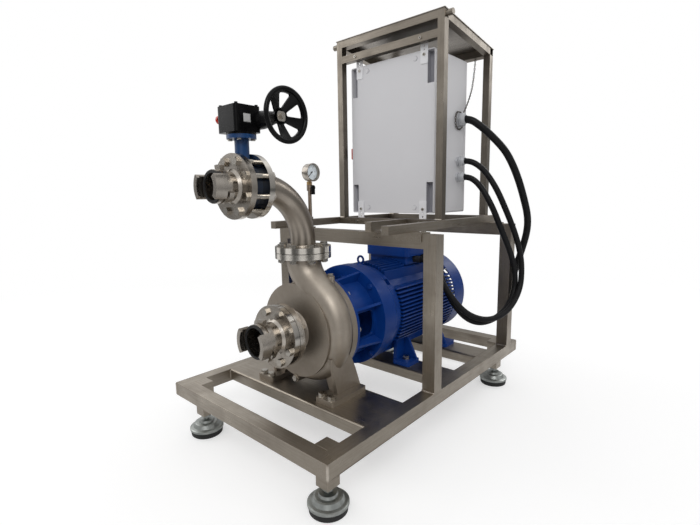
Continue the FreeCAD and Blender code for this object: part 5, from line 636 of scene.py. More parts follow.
BLACK = Finish("gloss_black", (0.003, 0.003, 0.0033), (0.006, 0.006, 0.0065), 0.26, 0.07, 0.0, Grain.PEEL,
               pitch=300.0, depth=0.00025, coat=0.03, smudge_scale=30.0, specular=0.12)
RED = Finish("moulded_red", (0.68, 0.04, 0.016), (0.5, 0.025, 0.012), 0.34, 0.06, 0.0,
             pitch=1200.0, depth=0.00008, coat=0.2)
CABINET = Finish("cabinet_grey", (0.73, 0.725, 0.745), (0.69, 0.685, 0.705), 0.46, 0.06, 0.0,
                 pitch=1500.0, depth=0.00012, smudge_scale=3.0, grain_colour=0.15)
# Painted shade: a darker grey that stands in for the shade deep inside the cabinet's corner pockets and round
# its plugs.
PAINTED_RECESS_SHADE = Finish("recess_painted_shade", (0.34, 0.34, 0.37), (0.28, 0.28, 0.31), 0.5, 0.06, 0.0,
                pitch=1500.0, depth=0.00012)
BRACKET = Finish("bracket_white", (0.86, 0.86, 0.88), (0.78, 0.78, 0.8), 0.4, 0.08, 0.0, Grain.PEEL,
                 pitch=700.0, smudge_scale=25.0)
GLAND = Finish("gland_grey", (0.52, 0.53, 0.55), (0.44, 0.45, 0.47), 0.42, 0.07, 0.0,
               pitch=1300.0, smudge_scale=30.0)
PLATE = Finish("zinc_sheet", (0.62, 0.61, 0.56), (0.5, 0.49, 0.44), 0.34, 0.08, 1.0,
               pitch=600.0, depth=0.00008, smudge_scale=20.0)
PALE_PLASTIC = Finish("pale_plastic", (0.55, 0.56, 0.55), (0.48, 0.49, 0.48), 0.45, 0.06, 0.0)
DARK_PLASTIC = Finish("dark_plastic", (0.02, 0.02, 0.022), (0.035, 0.035, 0.037), 0.48, 0.08, 0.0,
                      pitch=1300.0, depth=0.00012)
SHEATH = Finish("cable_sheath", (0.008, 0.008, 0.009), (0.016, 0.016, 0.017), 0.42, 0.08, 0.0,
                pitch=420.0, depth=0.0003, dust=0.02, smudge_scale=25.0, specular=0.12)
GASKET = Finish("gasket_rubber", (0.012, 0.012, 0.012), (0.022, 0.022, 0.022), 0.7, 0.1, 0.0)
CHAIN_STEEL = Finish("chain_steel", (0.1, 0.082, 0.065), (0.045, 0.036, 0.03), 0.34, 0.1, 1.0)
RISER = Finish("gauge_riser", (0.38, 0.31, 0.25), (0.19, 0.14, 0.105), 0.36, 0.1, 1.0,
               pitch=600.0, depth=0.00015, smudge_scale=60.0)
BRASS = Finish("fitting_brass", (0.52, 0.36, 0.18), (0.32, 0.2, 0.09), 0.36, 0.1, 1.0,
               pitch=600.0, depth=0.00015, smudge_scale=60.0)
# Painted shade: near-black blue for the valve body between its flanges, where it lies in shade.
VALVE_BODY_SHADE = Finish("wafer_painted_shade", (0.006, 0.012, 0.028), (0.012, 0.022, 0.045), 0.45, 0.1, 0.0, Grain.PEEL,
               pitch=420.0, depth=0.0004, smudge_scale=40.0, specular=0.25)
WELD = Finish("weld_bead", (0.62, 0.58, 0.52), (0.26, 0.21, 0.16), 0.34, 0.1, 1.0,
              depth=0.0002, smudge_scale=40.0)
PAPER_WHITE = Finish("dial_white", (0.74, 0.78, 0.82), (0.68, 0.73, 0.78), 0.5, 0.05, 0.0)
INK = Finish("dial_ink", (0.01, 0.01, 0.01), (0.03, 0.03, 0.03), 0.5, 0.05, 0.0)
LABEL = Finish("bare_label", (0.62, 0.62, 0.61), (0.5, 0.5, 0.5), 0.4, 0.08, 0.0,
               pitch=1500.0, depth=0.00004)


# Mesh helpers


def new_mesh(name: str, bm: bmesh.types.BMesh) -> bpy.types.Mesh:
    """Writes a bmesh to a new mesh and frees it.

    Args:
        name: Name of the mesh.
        bm: Finished bmesh.

    Returns:
        The new mesh.
    """
    mesh = bpy.data.meshes.new(name)
    bm.to_mesh(mesh)
    bm.free()
    return mesh


def finish_piece(
    name: str,
    source: Union[bmesh.types.BMesh, bpy.types.Mesh],
    material: bpy.types.Material,
    body: str = "root",
    smooth: float = 35.0,
) -> bpy.types.Object:
    """Turns a mesh into a piece of the object.

    Args:
        name: Name of the piece.
        source: Finished bmesh or mesh, in metres.
        material: Its material.
        body: Body that it rides on.
        smooth: Largest angle between faces that still looks round, in degrees.

    Returns:
        The new object.
    """
    mesh = source
    if isinstance(source, bmesh.types.BMesh):
        for edge in source.edges:
            edge.smooth = len(edge.link_faces) == 2 and edge.calc_face_angle(0.0) < math.radians(smooth)
        for face in source.faces:
            face.smooth = True
        mesh = new_mesh(name, source)
    mesh.materials.clear()
    mesh.materials.append(material)
    piece = bpy.data.objects.new(name, mesh)
    bpy.context.scene.collection.objects.link(piece)
    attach(piece, body)
    LOG.info("piece %s: %d faces", name, len(mesh.polygons))
    return piece


def spin_profile(
    bm: bmesh.types.BMesh,
    profile: Sequence[tuple[float, float]],
    centre: Vector,
    axis: Vector,
    steps: int = 48,
) -> list[bmesh.types.BMVert]:
    """Turns a profile round an axis with the spin operator.

    Args:
        bm: Mesh that gets the shape.
        profile: Pairs of radius and place along the axis, in millimetres.
        centre: Start of the axis, in metres.
        axis: Direction of the axis.
        steps: Number of steps round.

    Returns:
        The new vertices.
    """
    along = axis.normalized()
    side = along.orthogonal().normalized()
    before = set(bm.verts)
    line = [bm.verts.new(centre + side * (reach * MM) + along * (rise * MM)) for reach, rise in profile]
    edges = [bm.edges.new(pair) for pair in zip(line, line[1:])]
    bmesh.ops.spin(bm, geom=line + edges, cent=centre, axis=along, angle=math.tau, steps=steps,
                   use_merge=True)
    made = [vert for vert in bm.verts if vert not in before]
    bmesh.ops.remove_doubles(bm, verts=made, dist=MERGE_REACH)
    return [vert for vert in bm.verts if vert not in before]


@dataclass(frozen=True)
class Turning:
    """A turned shape: its profile in millimetres, the start and way of its axis, and its steps."""

    profile: Sequence[tuple[float, float]]
    start: Vector
    axis: Vector
    steps: int = 48


def turned_piece(name: str, material: bpy.types.Material, turnings: Sequence[Turning]) -> bpy.types.Object:
    """Makes a piece of turned shapes.

    Args:
        name: Name of the piece.
        material: Its material.
        turnings: Its shapes.

    Returns:
        The new object.
    """
    bm = bmesh.new()
    for shape in turnings:
        spin_profile(bm, shape.profile, shape.start, shape.axis, shape.steps)
    bmesh.ops.recalc_face_normals(bm, faces=bm.faces)
    return finish_piece(name, bm, material)


def ring_way(index: int, count: int) -> Vector:
    """Direction of one of several places round the X axis.

    Args:
        index: Number of the place, from zero.
        count: Number of places.

    Returns:
        The direction.
    """
    turn = math.tau * index / count
    return Vector((0.0, math.cos(turn), math.sin(turn)))


def aim(position: Vector, direction: Vector) -> Matrix:
    """Matrix that takes +Z to a direction and the origin to a position.

    Args:
        position: New place of the origin.
        direction: New direction of +Z.

    Returns:
        The matrix.
    """
    return Matrix.Translation(position) @ direction.to_track_quat("Z", "Y").to_matrix().to_4x4()


def curve_line(points: Sequence[Vector], fine: int = 12) -> list[Vector]:
    """Samples the smooth curve of a route.

    Args:
        points: Route points, in metres.
        fine: Steps for each route point.

    Returns:
        Points on the curve, from its start to its end.
    """
    curve = FlexCable.curve_data("sample_line", points)
    curve.resolution_u = fine
    carrier = bpy.data.objects.new("sample_line", curve)
    line = [vert.co.copy() for vert in carrier.to_mesh().vertices]
    carrier.to_mesh_clear()
    bpy.data.objects.remove(carrier)
    bpy.data.curves.remove(curve)
    return line


def line_length(line: Sequence[Vector]) -> float:
    """Length of a line.

    Args:
        line: Its points, in metres.

    Returns:
        The length, in metres.
    """
    return sum((b - a).length for a, b in zip(line, line[1:]))


# Cables

SUPPLY_RADIUS = 15.5
MOTOR_RADIUS = 12.5


class FarEnd(Enum):
    """What a cable ends in."""

    PLUG = "plug"
    OBJECT = "object"


@dataclass
class FlexCable:
    """A round flexible cable on a smooth route."""

    name: str
    route: Sequence[Point]
    radius: float
    far_end: FarEnd
    replaced: tuple[str, ...]
    lay: str = "hanging"
    stiffness: str = "stiff"

    @staticmethod
    def curve_data(name: str, points: Sequence[Vector]) -> bpy.types.Curve:
        """Makes the curve of a route.

        Args:
            name: Name of the curve.
            points: Route points, in metres.

        Returns:
            A curve with one open spline.
        """
        curve = bpy.data.curves.new(name, "CURVE")
        curve.dimensions = "3D"
        spline = curve.splines.new("NURBS")
        spline.points.add(len(points) - 1)
        for knot, point in zip(spline.points, points):
            knot.co = (*point, 1.0)
        spline.order_u = 3
        spline.use_endpoint_u = True
        return curve

    def build(self, material: bpy.types.Material, with_pieces: Sequence[bpy.types.Object] = ()) -> None:
        """Args:
            material: Sheath of the cable.
            with_pieces: Separate pieces on the cable; not used.
        """
        points = [place(point) for point in self.route]
        curve = self.curve_data(self.name, points)
        curve.bevel_depth = self.radius * MM
        curve.bevel_resolution = 5
        curve.resolution_u = 10
        curve.use_fill_caps = True
        curve.materials.append(material)
        cable = bpy.data.objects.new(self.name, curve)
        bpy.context.scene.collection.objects.link(cable)
        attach(cable, "root")
        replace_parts(cable, *self.replaced)
        length = line_length(curve_line(points))
        LOG.info("cable %s: %.3f m", self.name, length)


@dataclass
class SupplyCoil:
    """The put-away length of the supply cable: two turns across and two high."""

    centre: tuple[float, float] = (-290.0, 905.0)
    outer: float = 185.5
    pitch: float = 31.0
    floor: float = 15.5
    steps_round: int = 18
    tail: tuple[Point, ...] = ((-367.0, 719.5, 42.0), (-397.0, 719.5, 34.0), (-458.0, 719.5, 34.0))

    def station(self, degrees: float) -> Point:
        """Place on the winding after a given turn from where the cable comes in.

        Args:
            degrees: Angle wound so far.

        Returns:
            The place in the drawing's millimetres.
        """
        inner = self.outer - self.pitch
        upper = self.floor + self.pitch
        changes = (
            (305.0, 360.0, (self.outer, self.floor), (inner, self.floor)),
            (665.0, 720.0, (inner, self.floor), (inner, upper)),
            (1140.0, 1200.0, (inner, upper), (self.outer, upper)),
        )
        radius, height = self.outer, self.floor
        for start, end, before, after in changes:
            share = min(max((degrees - start) / (end - start), 0.0), 1.0)
            share = share * share * (3 - 2 * share)
            if degrees >= start:
                radius = before[0] + (after[0] - before[0]) * share
                height = before[1] + (after[1] - before[1]) * share
        angle = math.radians(-90.0 - degrees)
        x, y = self.centre
        return (x + radius * math.cos(angle), y + radius * math.sin(angle), height)

    def route(self) -> tuple[Point, ...]:
        """Route of the winding and of the tail that leads to the plug.

        Returns:
            Its points in the drawing's millimetres.
        """
        step = 360.0 / self.steps_round
        turns = [self.station(index * step) for index in range(1, 4 * self.steps_round)]
        return (*turns, *self.tail)


SUPPLY_ROUTE: tuple[Point, ...] = (
    (234.0, 385.0, 1226.0), (270.0, 385.0, 1226.0), (312.0, 408.0, 1192.0), (354.0, 436.0, 1146.0),
    (390.0, 478.0, 1093.0), (410.0, 510.0, 1039.0), (425.0, 545.0, 976.0), (435.0, 586.0, 902.0),
    (440.0, 645.0, 806.0), (434.0, 660.0, 732.0), (406.0, 672.0, 635.0), (374.0, 680.0, 535.0),
    (352.0, 684.0, 433.0), (340.0, 686.0, 330.0), (334.0, 690.0, 230.0), (322.0, 700.0, 140.0),
    (290.0, 715.0, 72.0), (235.0, 727.0, 31.0), (165.0, 734.0, 16.5), (85.0, 735.0, 15.5),
    (5.0, 730.0, 15.5), (-70.0, 723.0, 15.5), (-140.0, 720.0, 15.5), (-212.6, 719.5, 15.5),
)
MOTOR_ROUTE_UPPER: tuple[Point, ...] = (
    (234.0, 385.0, 1052.0), (266.0, 385.0, 1052.0), (300.0, 397.0, 1038.0), (330.0, 413.0, 1008.0),
    (358.0, 422.0, 968.0), (386.0, 430.0, 918.0), (410.0, 441.0, 860.0), (429.0, 468.0, 794.0),
    (441.0, 508.0, 725.0), (445.0, 547.0, 660.0), (446.5, 572.0, 602.0), (446.5, 580.0, 542.0),
    (446.5, 570.0, 492.0), (444.0, 535.0, 446.0), (438.0, 475.0, 406.0), (420.0, 412.0, 380.0),
    (390.0, 357.0, 372.0), (355.0, 315.0, 385.0), (320.0, 284.0, 412.0), (284.0, 264.0, 455.0),
    (248.0, 255.0, 505.0), (216.0, 246.0, 555.0), (192.0, 236.0, 592.0), (168.0, 228.0, 620.0),
    (147.0, 226.0, 631.0), (116.0, 226.0, 631.0),
)
MOTOR_ROUTE_LOWER: tuple[Point, ...] = (
    (234.0, 385.0, 984.0), (266.0, 385.0, 984.0), (298.0, 393.0, 968.0), (328.0, 398.0, 934.0),
    (356.0, 400.0, 890.0), (384.0, 408.0, 832.0), (403.0, 430.0, 765.0), (415.0, 470.0, 700.0),
    (420.5, 516.0, 640.0), (420.8, 555.0, 580.0), (420.8, 574.0, 525.0), (420.8, 568.0, 472.0),
    (420.8, 532.0, 428.0), (412.0, 478.0, 390.0), (392.0, 420.0, 362.0), (360.0, 372.0, 350.0),
    (326.0, 336.0, 360.0), (292.0, 312.0, 390.0), (258.0, 297.0, 437.0), (229.0, 290.0, 490.0),
    (206.0, 289.0, 543.0), (188.0, 290.0, 585.0), (166.0, 291.0, 617.0), (147.0, 290.0, 631.0),
    (116.0, 290.0, 631.0),
)
CHAIN_ROUTE: tuple[Point, ...] = (
    (200.0, 568.0, 1514.0), (209.0, 541.0, 1440.0), (220.0, 497.0, 1360.0), (232.0, 432.0, 1290.0),
    (240.0, 390.0, 1255.0),
)


@dataclass
class LinkChain:
    """The short chain that keeps the cap of the big gland."""

    route: Sequence[Point] = CHAIN_ROUTE
    route_fine: int = 40
    wire: float = 1.2
    half_width: float = 3.1
    half_length: float = 6.6
    ring_steps: int = 12
    wire_steps: int = 6
    loop_centre: Point = (224.0, 382.0, 1223.0)
    loop_radius: float = 36.5
    loop_wave: float = 1.5
    loop_steps: int = 72
    smooth: float = 80.0

    def loop(self) -> list[Vector]:
        """Line of the slack turn round the gland.

        Returns:
            Points of the closed line, in metres.
        """
        x, y, z = self.loop_centre
        line = []
        for index in range(self.loop_steps + 1):
            turn = math.tau * index / self.loop_steps + math.pi / 2
            aside = self.loop_wave * math.cos(2 * turn)
            reach = self.loop_radius
            line.append(place((x + aside, y + reach * math.cos(turn), z + reach * math.sin(turn))))
        return line

    def link(self) -> bpy.types.Mesh:
        """Makes one link round the origin, long along Z.

        Returns:
            The mesh of the link.
        """
        bm = bmesh.new()
        beside = Matrix.Translation((self.half_width * MM, 0.0, 0.0))
        radius = self.wire * MM
        circle = bmesh.ops.create_circle(bm, segments=self.wire_steps, radius=radius, matrix=beside)
        bmesh.ops.spin(bm, geom=circle["verts"] + bm.edges[:], cent=(0.0, 0.0, 0.0), axis=(0.0, 1.0, 0.0),
                       angle=math.tau, steps=self.ring_steps, use_merge=True)
        bmesh.ops.remove_doubles(bm, verts=bm.verts, dist=MERGE_REACH)
        for vert in bm.verts:
            if abs(vert.co.z) > MERGE_REACH:
                vert.co.z += math.copysign((self.half_length - self.half_width) * MM, vert.co.z)
        bmesh.ops.recalc_face_normals(bm, faces=bm.faces)
        return new_mesh("chain_link", bm)

    def strand(
        self, name: str, link: bpy.types.Mesh, line: Sequence[Vector], material: bpy.types.Material
    ) -> bpy.types.Object:
        """Strings links along a line.

        Args:
            name: Name of the piece.
            link: One link.
            line: Points of the line, in metres.
            material: Finish of the chain.

        Returns:
            The links as one piece.
        """
        bm = bmesh.new()
        pitch = 2 * (self.half_length - self.wire) * MM
        due = self.half_length * MM
        travelled = 0.0
        count = 0
        for a, b in zip(line, line[1:]):
            step = (b - a).length
            while travelled + step >= due:
                where = a.lerp(b, (due - travelled) / step)
                turn = aim(where, b - a) @ Matrix.Rotation(math.pi / 2 * (count % 2), 4, "Z")
                known = set(bm.verts)
                bm.from_mesh(link)
                fresh = [vert for vert in bm.verts if vert not in known]
                bmesh.ops.transform(bm, matrix=turn, verts=fresh)
                due += pitch
                count += 1
            travelled += step
        return finish_piece(name, bm, material, smooth=self.smooth)

    def build(self, material: bpy.types.Material) -> bpy.types.Object:
        """Strings the links along the route and round the gland.

        Args:
            material: Finish of the chain.

        Returns:
            The chain.
        """
        line = curve_line([place(point) for point in self.route], self.route_fine)
        link = self.link()
        chain = self.strand("gland_chain_links", link, line, material)
        self.strand("gland_chain_loop", link, self.loop(), material)
        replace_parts(chain, "gland_chain")
        return chain


# Studio


@dataclass
class Studio:
    """Pale floor, white background and soft lamps."""

    floor_half: float = 9.0
    floor_glow: float = 0.48
    fade_start: float = 1.5
    fade_end: float = 4.0
    world_light: float = 0.62
    horizon: float = 0.42
    lamp_target: Point = (0.0, 0.0, 0.75)

    def build(self) -> None:
        """Builds floor, world and lamps."""
        self.floor()
        self.world()
        self.lamp("key", (2.6, -3.2, 3.6), 1.9, 62.0)
        self.lamp("fill", (-3.4, -1.6, 2.6), 2.4, 34.0)
        self.lamp("rear", (1.2, 3.6, 3.0), 2.0, 30.0)

    @staticmethod
    def seen(graph: Graph, path: Any) -> bpy.types.NodeSocket:
        """One for what the camera sees, also through glass.

        Args:
            graph: Graph that needs it.
            path: Outputs of its light path node.

        Returns:
            The socket.
        """
        return graph.math("MAXIMUM", path["Is Camera Ray"], path["Is Transmission Ray"])

    def floor(self) -> None:
        """A pale floor that keeps the shadow and runs out into white."""
        bm = bmesh.new()
        bmesh.ops.create_grid(bm, x_segments=2, y_segments=2, size=self.floor_half)
        material, graph, shader = new_material("studio_floor")
        spot = graph.add("ShaderNodeTexCoord").outputs["Object"]
        fade = graph.span(graph.length(spot), self.fade_start, self.fade_end)
        path = graph.add("ShaderNodeLightPath").outputs
        coming = graph.add("ShaderNodeNewGeometry").outputs["Incoming"]
        window = Effects.use(graph, "windows", coming, Count=6.0, Low=0.3, High=2.3)
        mirrored = graph.math("MULTIPLY", graph.math("MULTIPLY", window, self.horizon), path["Is Glossy Ray"])
        seen = graph.math("MAXIMUM", self.seen(graph, path), mirrored)
        values = {
            "Base Color": graph.mix(fade, (0.62, 0.62, 0.62), (0.0, 0.0, 0.0)),
            "Roughness": 0.8,
            "Specular IOR Level": 0.0,
            "Emission Color": (1.0, 1.0, 1.0),
            "Emission Strength": graph.math("MULTIPLY", seen, graph.blend(fade, self.floor_glow, 1.0)),
        }
        graph.fill(shader, values)
        floor = bpy.data.objects.new("studio_floor", new_mesh("studio_floor", bm))
        floor.data.materials.append(material)
        bpy.context.scene.collection.objects.link(floor)

    def world(self) -> None:
        """White behind the object, softer where it lights it."""
        world = bpy.data.worlds.new("studio")
        bpy.context.scene.world = world
        world.use_nodes = True
        graph = Graph(world.node_tree)
        path = graph.add("ShaderNodeLightPath").outputs
        where = graph.add("ShaderNodeTexCoord").outputs["Generated"]
        height = graph.parts(where)[2]
        rise = graph.span(height, 0.0, 0.7, self.horizon, 1.0)
        window = Effects.use(graph, "windows", where)
        rise = graph.math("MULTIPLY", rise, graph.blend(graph.span(height, 0.5, 0.9), window, 1.0))
        reflected = graph.math("MULTIPLY", rise, path["Is Glossy Ray"])
        lit = graph.math("MULTIPLY", graph.math("SUBTRACT", 1.0, path["Is Glossy Ray"]), self.world_light)
        strength = graph.math("MAXIMUM", graph.math("MAXIMUM", self.seen(graph, path), reflected), lit)
        shader = world.node_tree.nodes["Background"].inputs
        graph.fill(shader, {"Color": (1.0, 1.0, 1.0), "Strength": strength})

    def lamp(self, name: str, position: Point, size: float, power: float) -> None:
        """One square soft lamp that faces the middle of the object.

        Args:
            name: Name of the lamp.
            position: Its place, in metres.
            size: Its side, in metres.
            power: Its power, in watts.
        """
        data = bpy.data.lights.new(name, "AREA")
        data.size = size
        data.energy = power
        lamp = bpy.data.objects.new(name, data)
        lamp.matrix_world = aim(Vector(position), Vector(position) - Vector(self.lamp_target))
        bpy.context.scene.collection.objects.link(lamp)


# Sub-assemblies


@dataclass
class SoftEdges:
    """Copies of CAD nodes with the small round edges that folded and drawn metal has."""

    widths: dict[str, float]
    bodies: dict[str, str]
    sharp: float = math.radians(30.0)
    flat: float = math.radians(1.0)
    seam: float = 2e-6

    def build(self, node: str, source: bpy.types.Object, material: bpy.types.Material) -> bpy.types.Object:
        """Makes the rounded copy of one node.

        Args:
            node: Name of the node.
            source: Its object.
            material: Material of the copy.

        Returns:
            The copy, which stands for the node.
        """
        mesh = source.data.copy()
        for name in ("custom_normal", "UVMap"):
            if name in mesh.attributes:
                mesh.attributes.remove(mesh.attributes[name])
        bm = bmesh.new()
        bm.from_mesh(mesh)
        bmesh.ops.remove_doubles(bm, verts=bm.verts, dist=self.seam)
        bmesh.ops.dissolve_limit(bm, angle_limit=self.flat, verts=bm.verts, edges=bm.edges,
                                 use_dissolve_boundaries=False)
        for edge in bm.edges:
            edge.smooth = len(edge.link_faces) == 2 and edge.calc_face_angle(0.0) < self.sharp
        for face in bm.faces:
            face.smooth = True
        bm.to_mesh(mesh)
        bm.free()
        piece = finish_piece(f"{node}_rounded", mesh, material, self.bodies[node])
        bevel = piece.modifiers.new("round_edges", "BEVEL")
        bevel.width = self.widths[node] * MM
        bevel.segments = 2
        bevel.limit_method = "ANGLE"
        bevel.angle_limit = self.sharp
        bevel.use_clamp_overlap = True
        bevel.harden_normals = True
        bevel.miter_outer = "MITER_ARC"
        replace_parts(piece, node)
        return piece


@dataclass(frozen=True)
class HoseClaws:
    """Copy of a hose coupling whose claws end nearer its mouth, as in the photograph."""

    node: str
    mouth: float
    drawn_back: float = 18.0
    clearance: float = 1.0

    def build(self, source: bpy.types.Object, material: bpy.types.Material) -> bpy.types.Object:
        """Makes the copy, with what lies before the mouth moved towards it.

        Args:
            source: Object of the coupling's node.
            material: Material of the copy.

        Returns:
            The copy, which stands for the node.
        """
        mesh = source.data.copy()
        limit = place((0.0, self.mouth - self.clearance, 0.0)).y
        for vert in mesh.vertices:
            if vert.co.y < limit:
                vert.co.y += self.drawn_back * MM
        piece = finish_piece(f"{self.node}_claws", mesh, material)
        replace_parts(piece, self.node)
        return piece


@dataclass
class WeldSeams:
    """Rippled weld beads where tubes and pipes join."""

    radius: float = 4.2
    ripple: float = 3.0
    sides: int = 8
    start_share: float = 0.7
    swell: float = 1.35
    swell_step: float = 0.16
    wave: float = 0.35
    smooth: float = 60.0
    post: float = 50.0
    frame_sides: tuple[float, float] = (357.5, 407.5)
    frame_top: float = 210.0
    posts: tuple[float, ...] = (-109.0, 535.0)
    beam_edges: tuple[float, ...] = (-441.0, -227.0, 24.0, 136.0, 325.0, 445.0)
    beam_heights: tuple[float, float] = (170.0, 205.0)
    cage_edges: tuple[float, ...] = (155.0, 185.0, 555.0, 585.0)
    cage_sides: tuple[float, float] = (245.0, 275.0)
    cage_foot: float = 809.5
    corner: tuple[float, float] = (406.0, 648.5)
    corner_heights: tuple[float, float] = (162.0, 208.0)
    leg: tuple[float, float, float] = (332.5, 575.0, 160.0)
    pipe: float = 45.2

    def straight(self, bm: bmesh.types.BMesh, start: Point, end: Point) -> None:
        """Lays one straight bead.

        Args:
            bm: Mesh that gets the bead.
            start: Its start, in the drawing's millimetres.
            end: Its end.
        """
        a, b = place(start), place(end)
        along = b - a
        count = max(2, int(along.length / (self.ripple * MM)))
        radius = self.radius * MM * self.start_share
        made = bmesh.ops.create_circle(bm, segments=self.sides, radius=radius, matrix=aim(a, along),
                                       cap_ends=True)
        ring = made["verts"]
        edges = list({edge for vert in ring for edge in vert.link_edges})
        rings = []
        for _ in range(count):
            out = bmesh.ops.extrude_edge_only(bm, edges=edges)["geom"]
            ring = [item for item in out if isinstance(item, bmesh.types.BMVert)]
            edges = [item for item in out if isinstance(item, bmesh.types.BMEdge)]
            bmesh.ops.translate(bm, verts=ring, vec=along / count)
            rings.append(ring)
        bmesh.ops.contextual_create(bm, geom=edges)
        for index, ring in enumerate(rings[:-1]):
            centre = sum((vert.co for vert in ring), Vector()) / len(ring)
            size = self.swell + self.swell_step * (index % 2)
            bmesh.ops.scale(bm, vec=(size, size, size), space=Matrix.Translation(-centre), verts=ring)

    def round_joint(self, bm: bmesh.types.BMesh, centre: Point, axis: Vector) -> None:
        """Lays one bead round a pipe.

        Args:
            bm: Mesh that gets the bead.
            centre: Centre of the ring, in the drawing's millimetres.
            axis: Its axis.
        """
        steps = int(math.tau * self.pipe / self.ripple)
        middle = place(centre)
        turns = [math.tau * k / self.sides for k in range(self.sides + 1)]
        profile = [(self.pipe + self.radius * math.cos(t), self.radius * math.sin(t)) for t in turns]
        verts = spin_profile(bm, profile, middle, axis, steps - steps % 2)
        side = axis.orthogonal().normalized()
        across = axis.cross(side)
        for vert in verts:
            offset = vert.co - middle
            turn = math.atan2(offset.dot(across), offset.dot(side))
            radial = (offset - axis * offset.dot(axis)).normalized()
            vert.co += radial * (self.wave * MM * math.cos(turn * steps / 2))

    def frame_joints(self) -> list[tuple[Point, Point]]:
        """Straight beads of the frame.

        Returns:
            Pairs of points in the drawing's millimetres.
        """
        seams: list[tuple[Point, Point]] = []
        top, foot = self.frame_top, self.cage_foot
        low, high = self.beam_heights
        corner_low, corner_high = self.corner_heights
        leg_x, leg_y, leg_top = self.leg
        half = self.post / 2
        for side in (-1, 1):
            inner, outer = (side * x for x in self.frame_sides)
            left, right = (side * x for x in self.cage_sides)
            x = side * self.corner[0]
            for y in self.posts:
                seams += [((inner, face, top), (outer, face, top)) for face in (y, y + self.post)]
                seams.append(((inner, y, top), (inner, y + self.post, top)))
            seams += [((inner, y, low), (inner, y, high)) for y in self.beam_edges]
            seams += [((left, y, foot), (right, y, foot)) for y in self.cage_edges]
            seams += [((x, y, corner_low), (x, y, corner_high)) for y in (-self.corner[1], self.corner[1])]
            for way in (-1, 1):
                x, y = side * leg_x, way * leg_y
                face = y - way * half
                seams.append(((x - half, face, leg_top), (x + half, face, leg_top)))
                seams.append(((x - side * half, y - half, leg_top), (x - side * half, y + half, leg_top)))
        return seams

    def build(self, material: bpy.types.Material) -> None:
        """Makes the beads of the frame and of the elbow.

        Args:
            material: Finish of the beads.
        """
        bm = bmesh.new()
        for start, end in self.frame_joints():
            self.straight(bm, start, end)
        finish_piece("frame_welds", bm, material, smooth=self.smooth)
        bm = bmesh.new()
        self.round_joint(bm, (0.0, -340.0, 738.2), Z_AXIS)
        self.round_joint(bm, (0.0, -535.0, 943.0), Vector((0.0, 1.0, 0.0)))
        finish_piece("pipe_welds", bm, material, smooth=self.smooth)


@dataclass
class CabinetMarks:
    """Painted shade: dark crosses for the shaded cross recesses of the bracket screws, and dark rims for the
    shade round the plugs in the back of the cabinet.
    """

    screw_x: float = 168.0
    screw_places: tuple[tuple[float, float], ...] = (
        (151.5, 1516.0), (151.5, 794.5), (181.5, 1461.0), (181.5, 850.0),
    )
    slot: Point = (0.0085, 0.0006, 0.0019)
    back_face: float = 188.0
    plug_x: float = 125.0
    plug_heights: tuple[float, float] = (1454.0, 857.0)
    rim_profile: tuple[tuple[float, float], ...] = (
        (8.4, 0.0), (8.4, 0.4), (10.2, 0.4), (10.2, 0.0), (8.4, 0.0),
    )

    def build(self, dark: bpy.types.Material, rim: bpy.types.Material) -> None:
        """Makes the marks.

        Args:
            dark: Material of the painted shade in the screw recesses.
            rim: Material of the painted shade round the plugs.
        """
        bm = bmesh.new()
        for side in (-1, 1):
            for face, height in self.screw_places:
                centre = Matrix.Translation(place((side * self.screw_x, face, height)))
                for quarter in (1, 3):
                    turn = centre @ Matrix.Rotation(math.pi / 4 * quarter, 4, "Y")
                    bmesh.ops.create_cube(bm, size=1.0, matrix=turn @ Matrix.Diagonal((*self.slot, 1.0)))
        # Painted shade: ink crosses where the screw recesses lie in shade.
        finish_piece("screw_recess_shade", bm, dark)
        away = Vector((0.0, -1.0, 0.0))
        rims = []
        for side in (-1, 1):
            for height in self.plug_heights:
                start = place((side * self.plug_x, self.back_face, height))
                rims.append(Turning(self.rim_profile, start, away, 24))
        # Painted shade: dark rings round the plugs.
        turned_piece("plug_rim_shade", rim, rims)


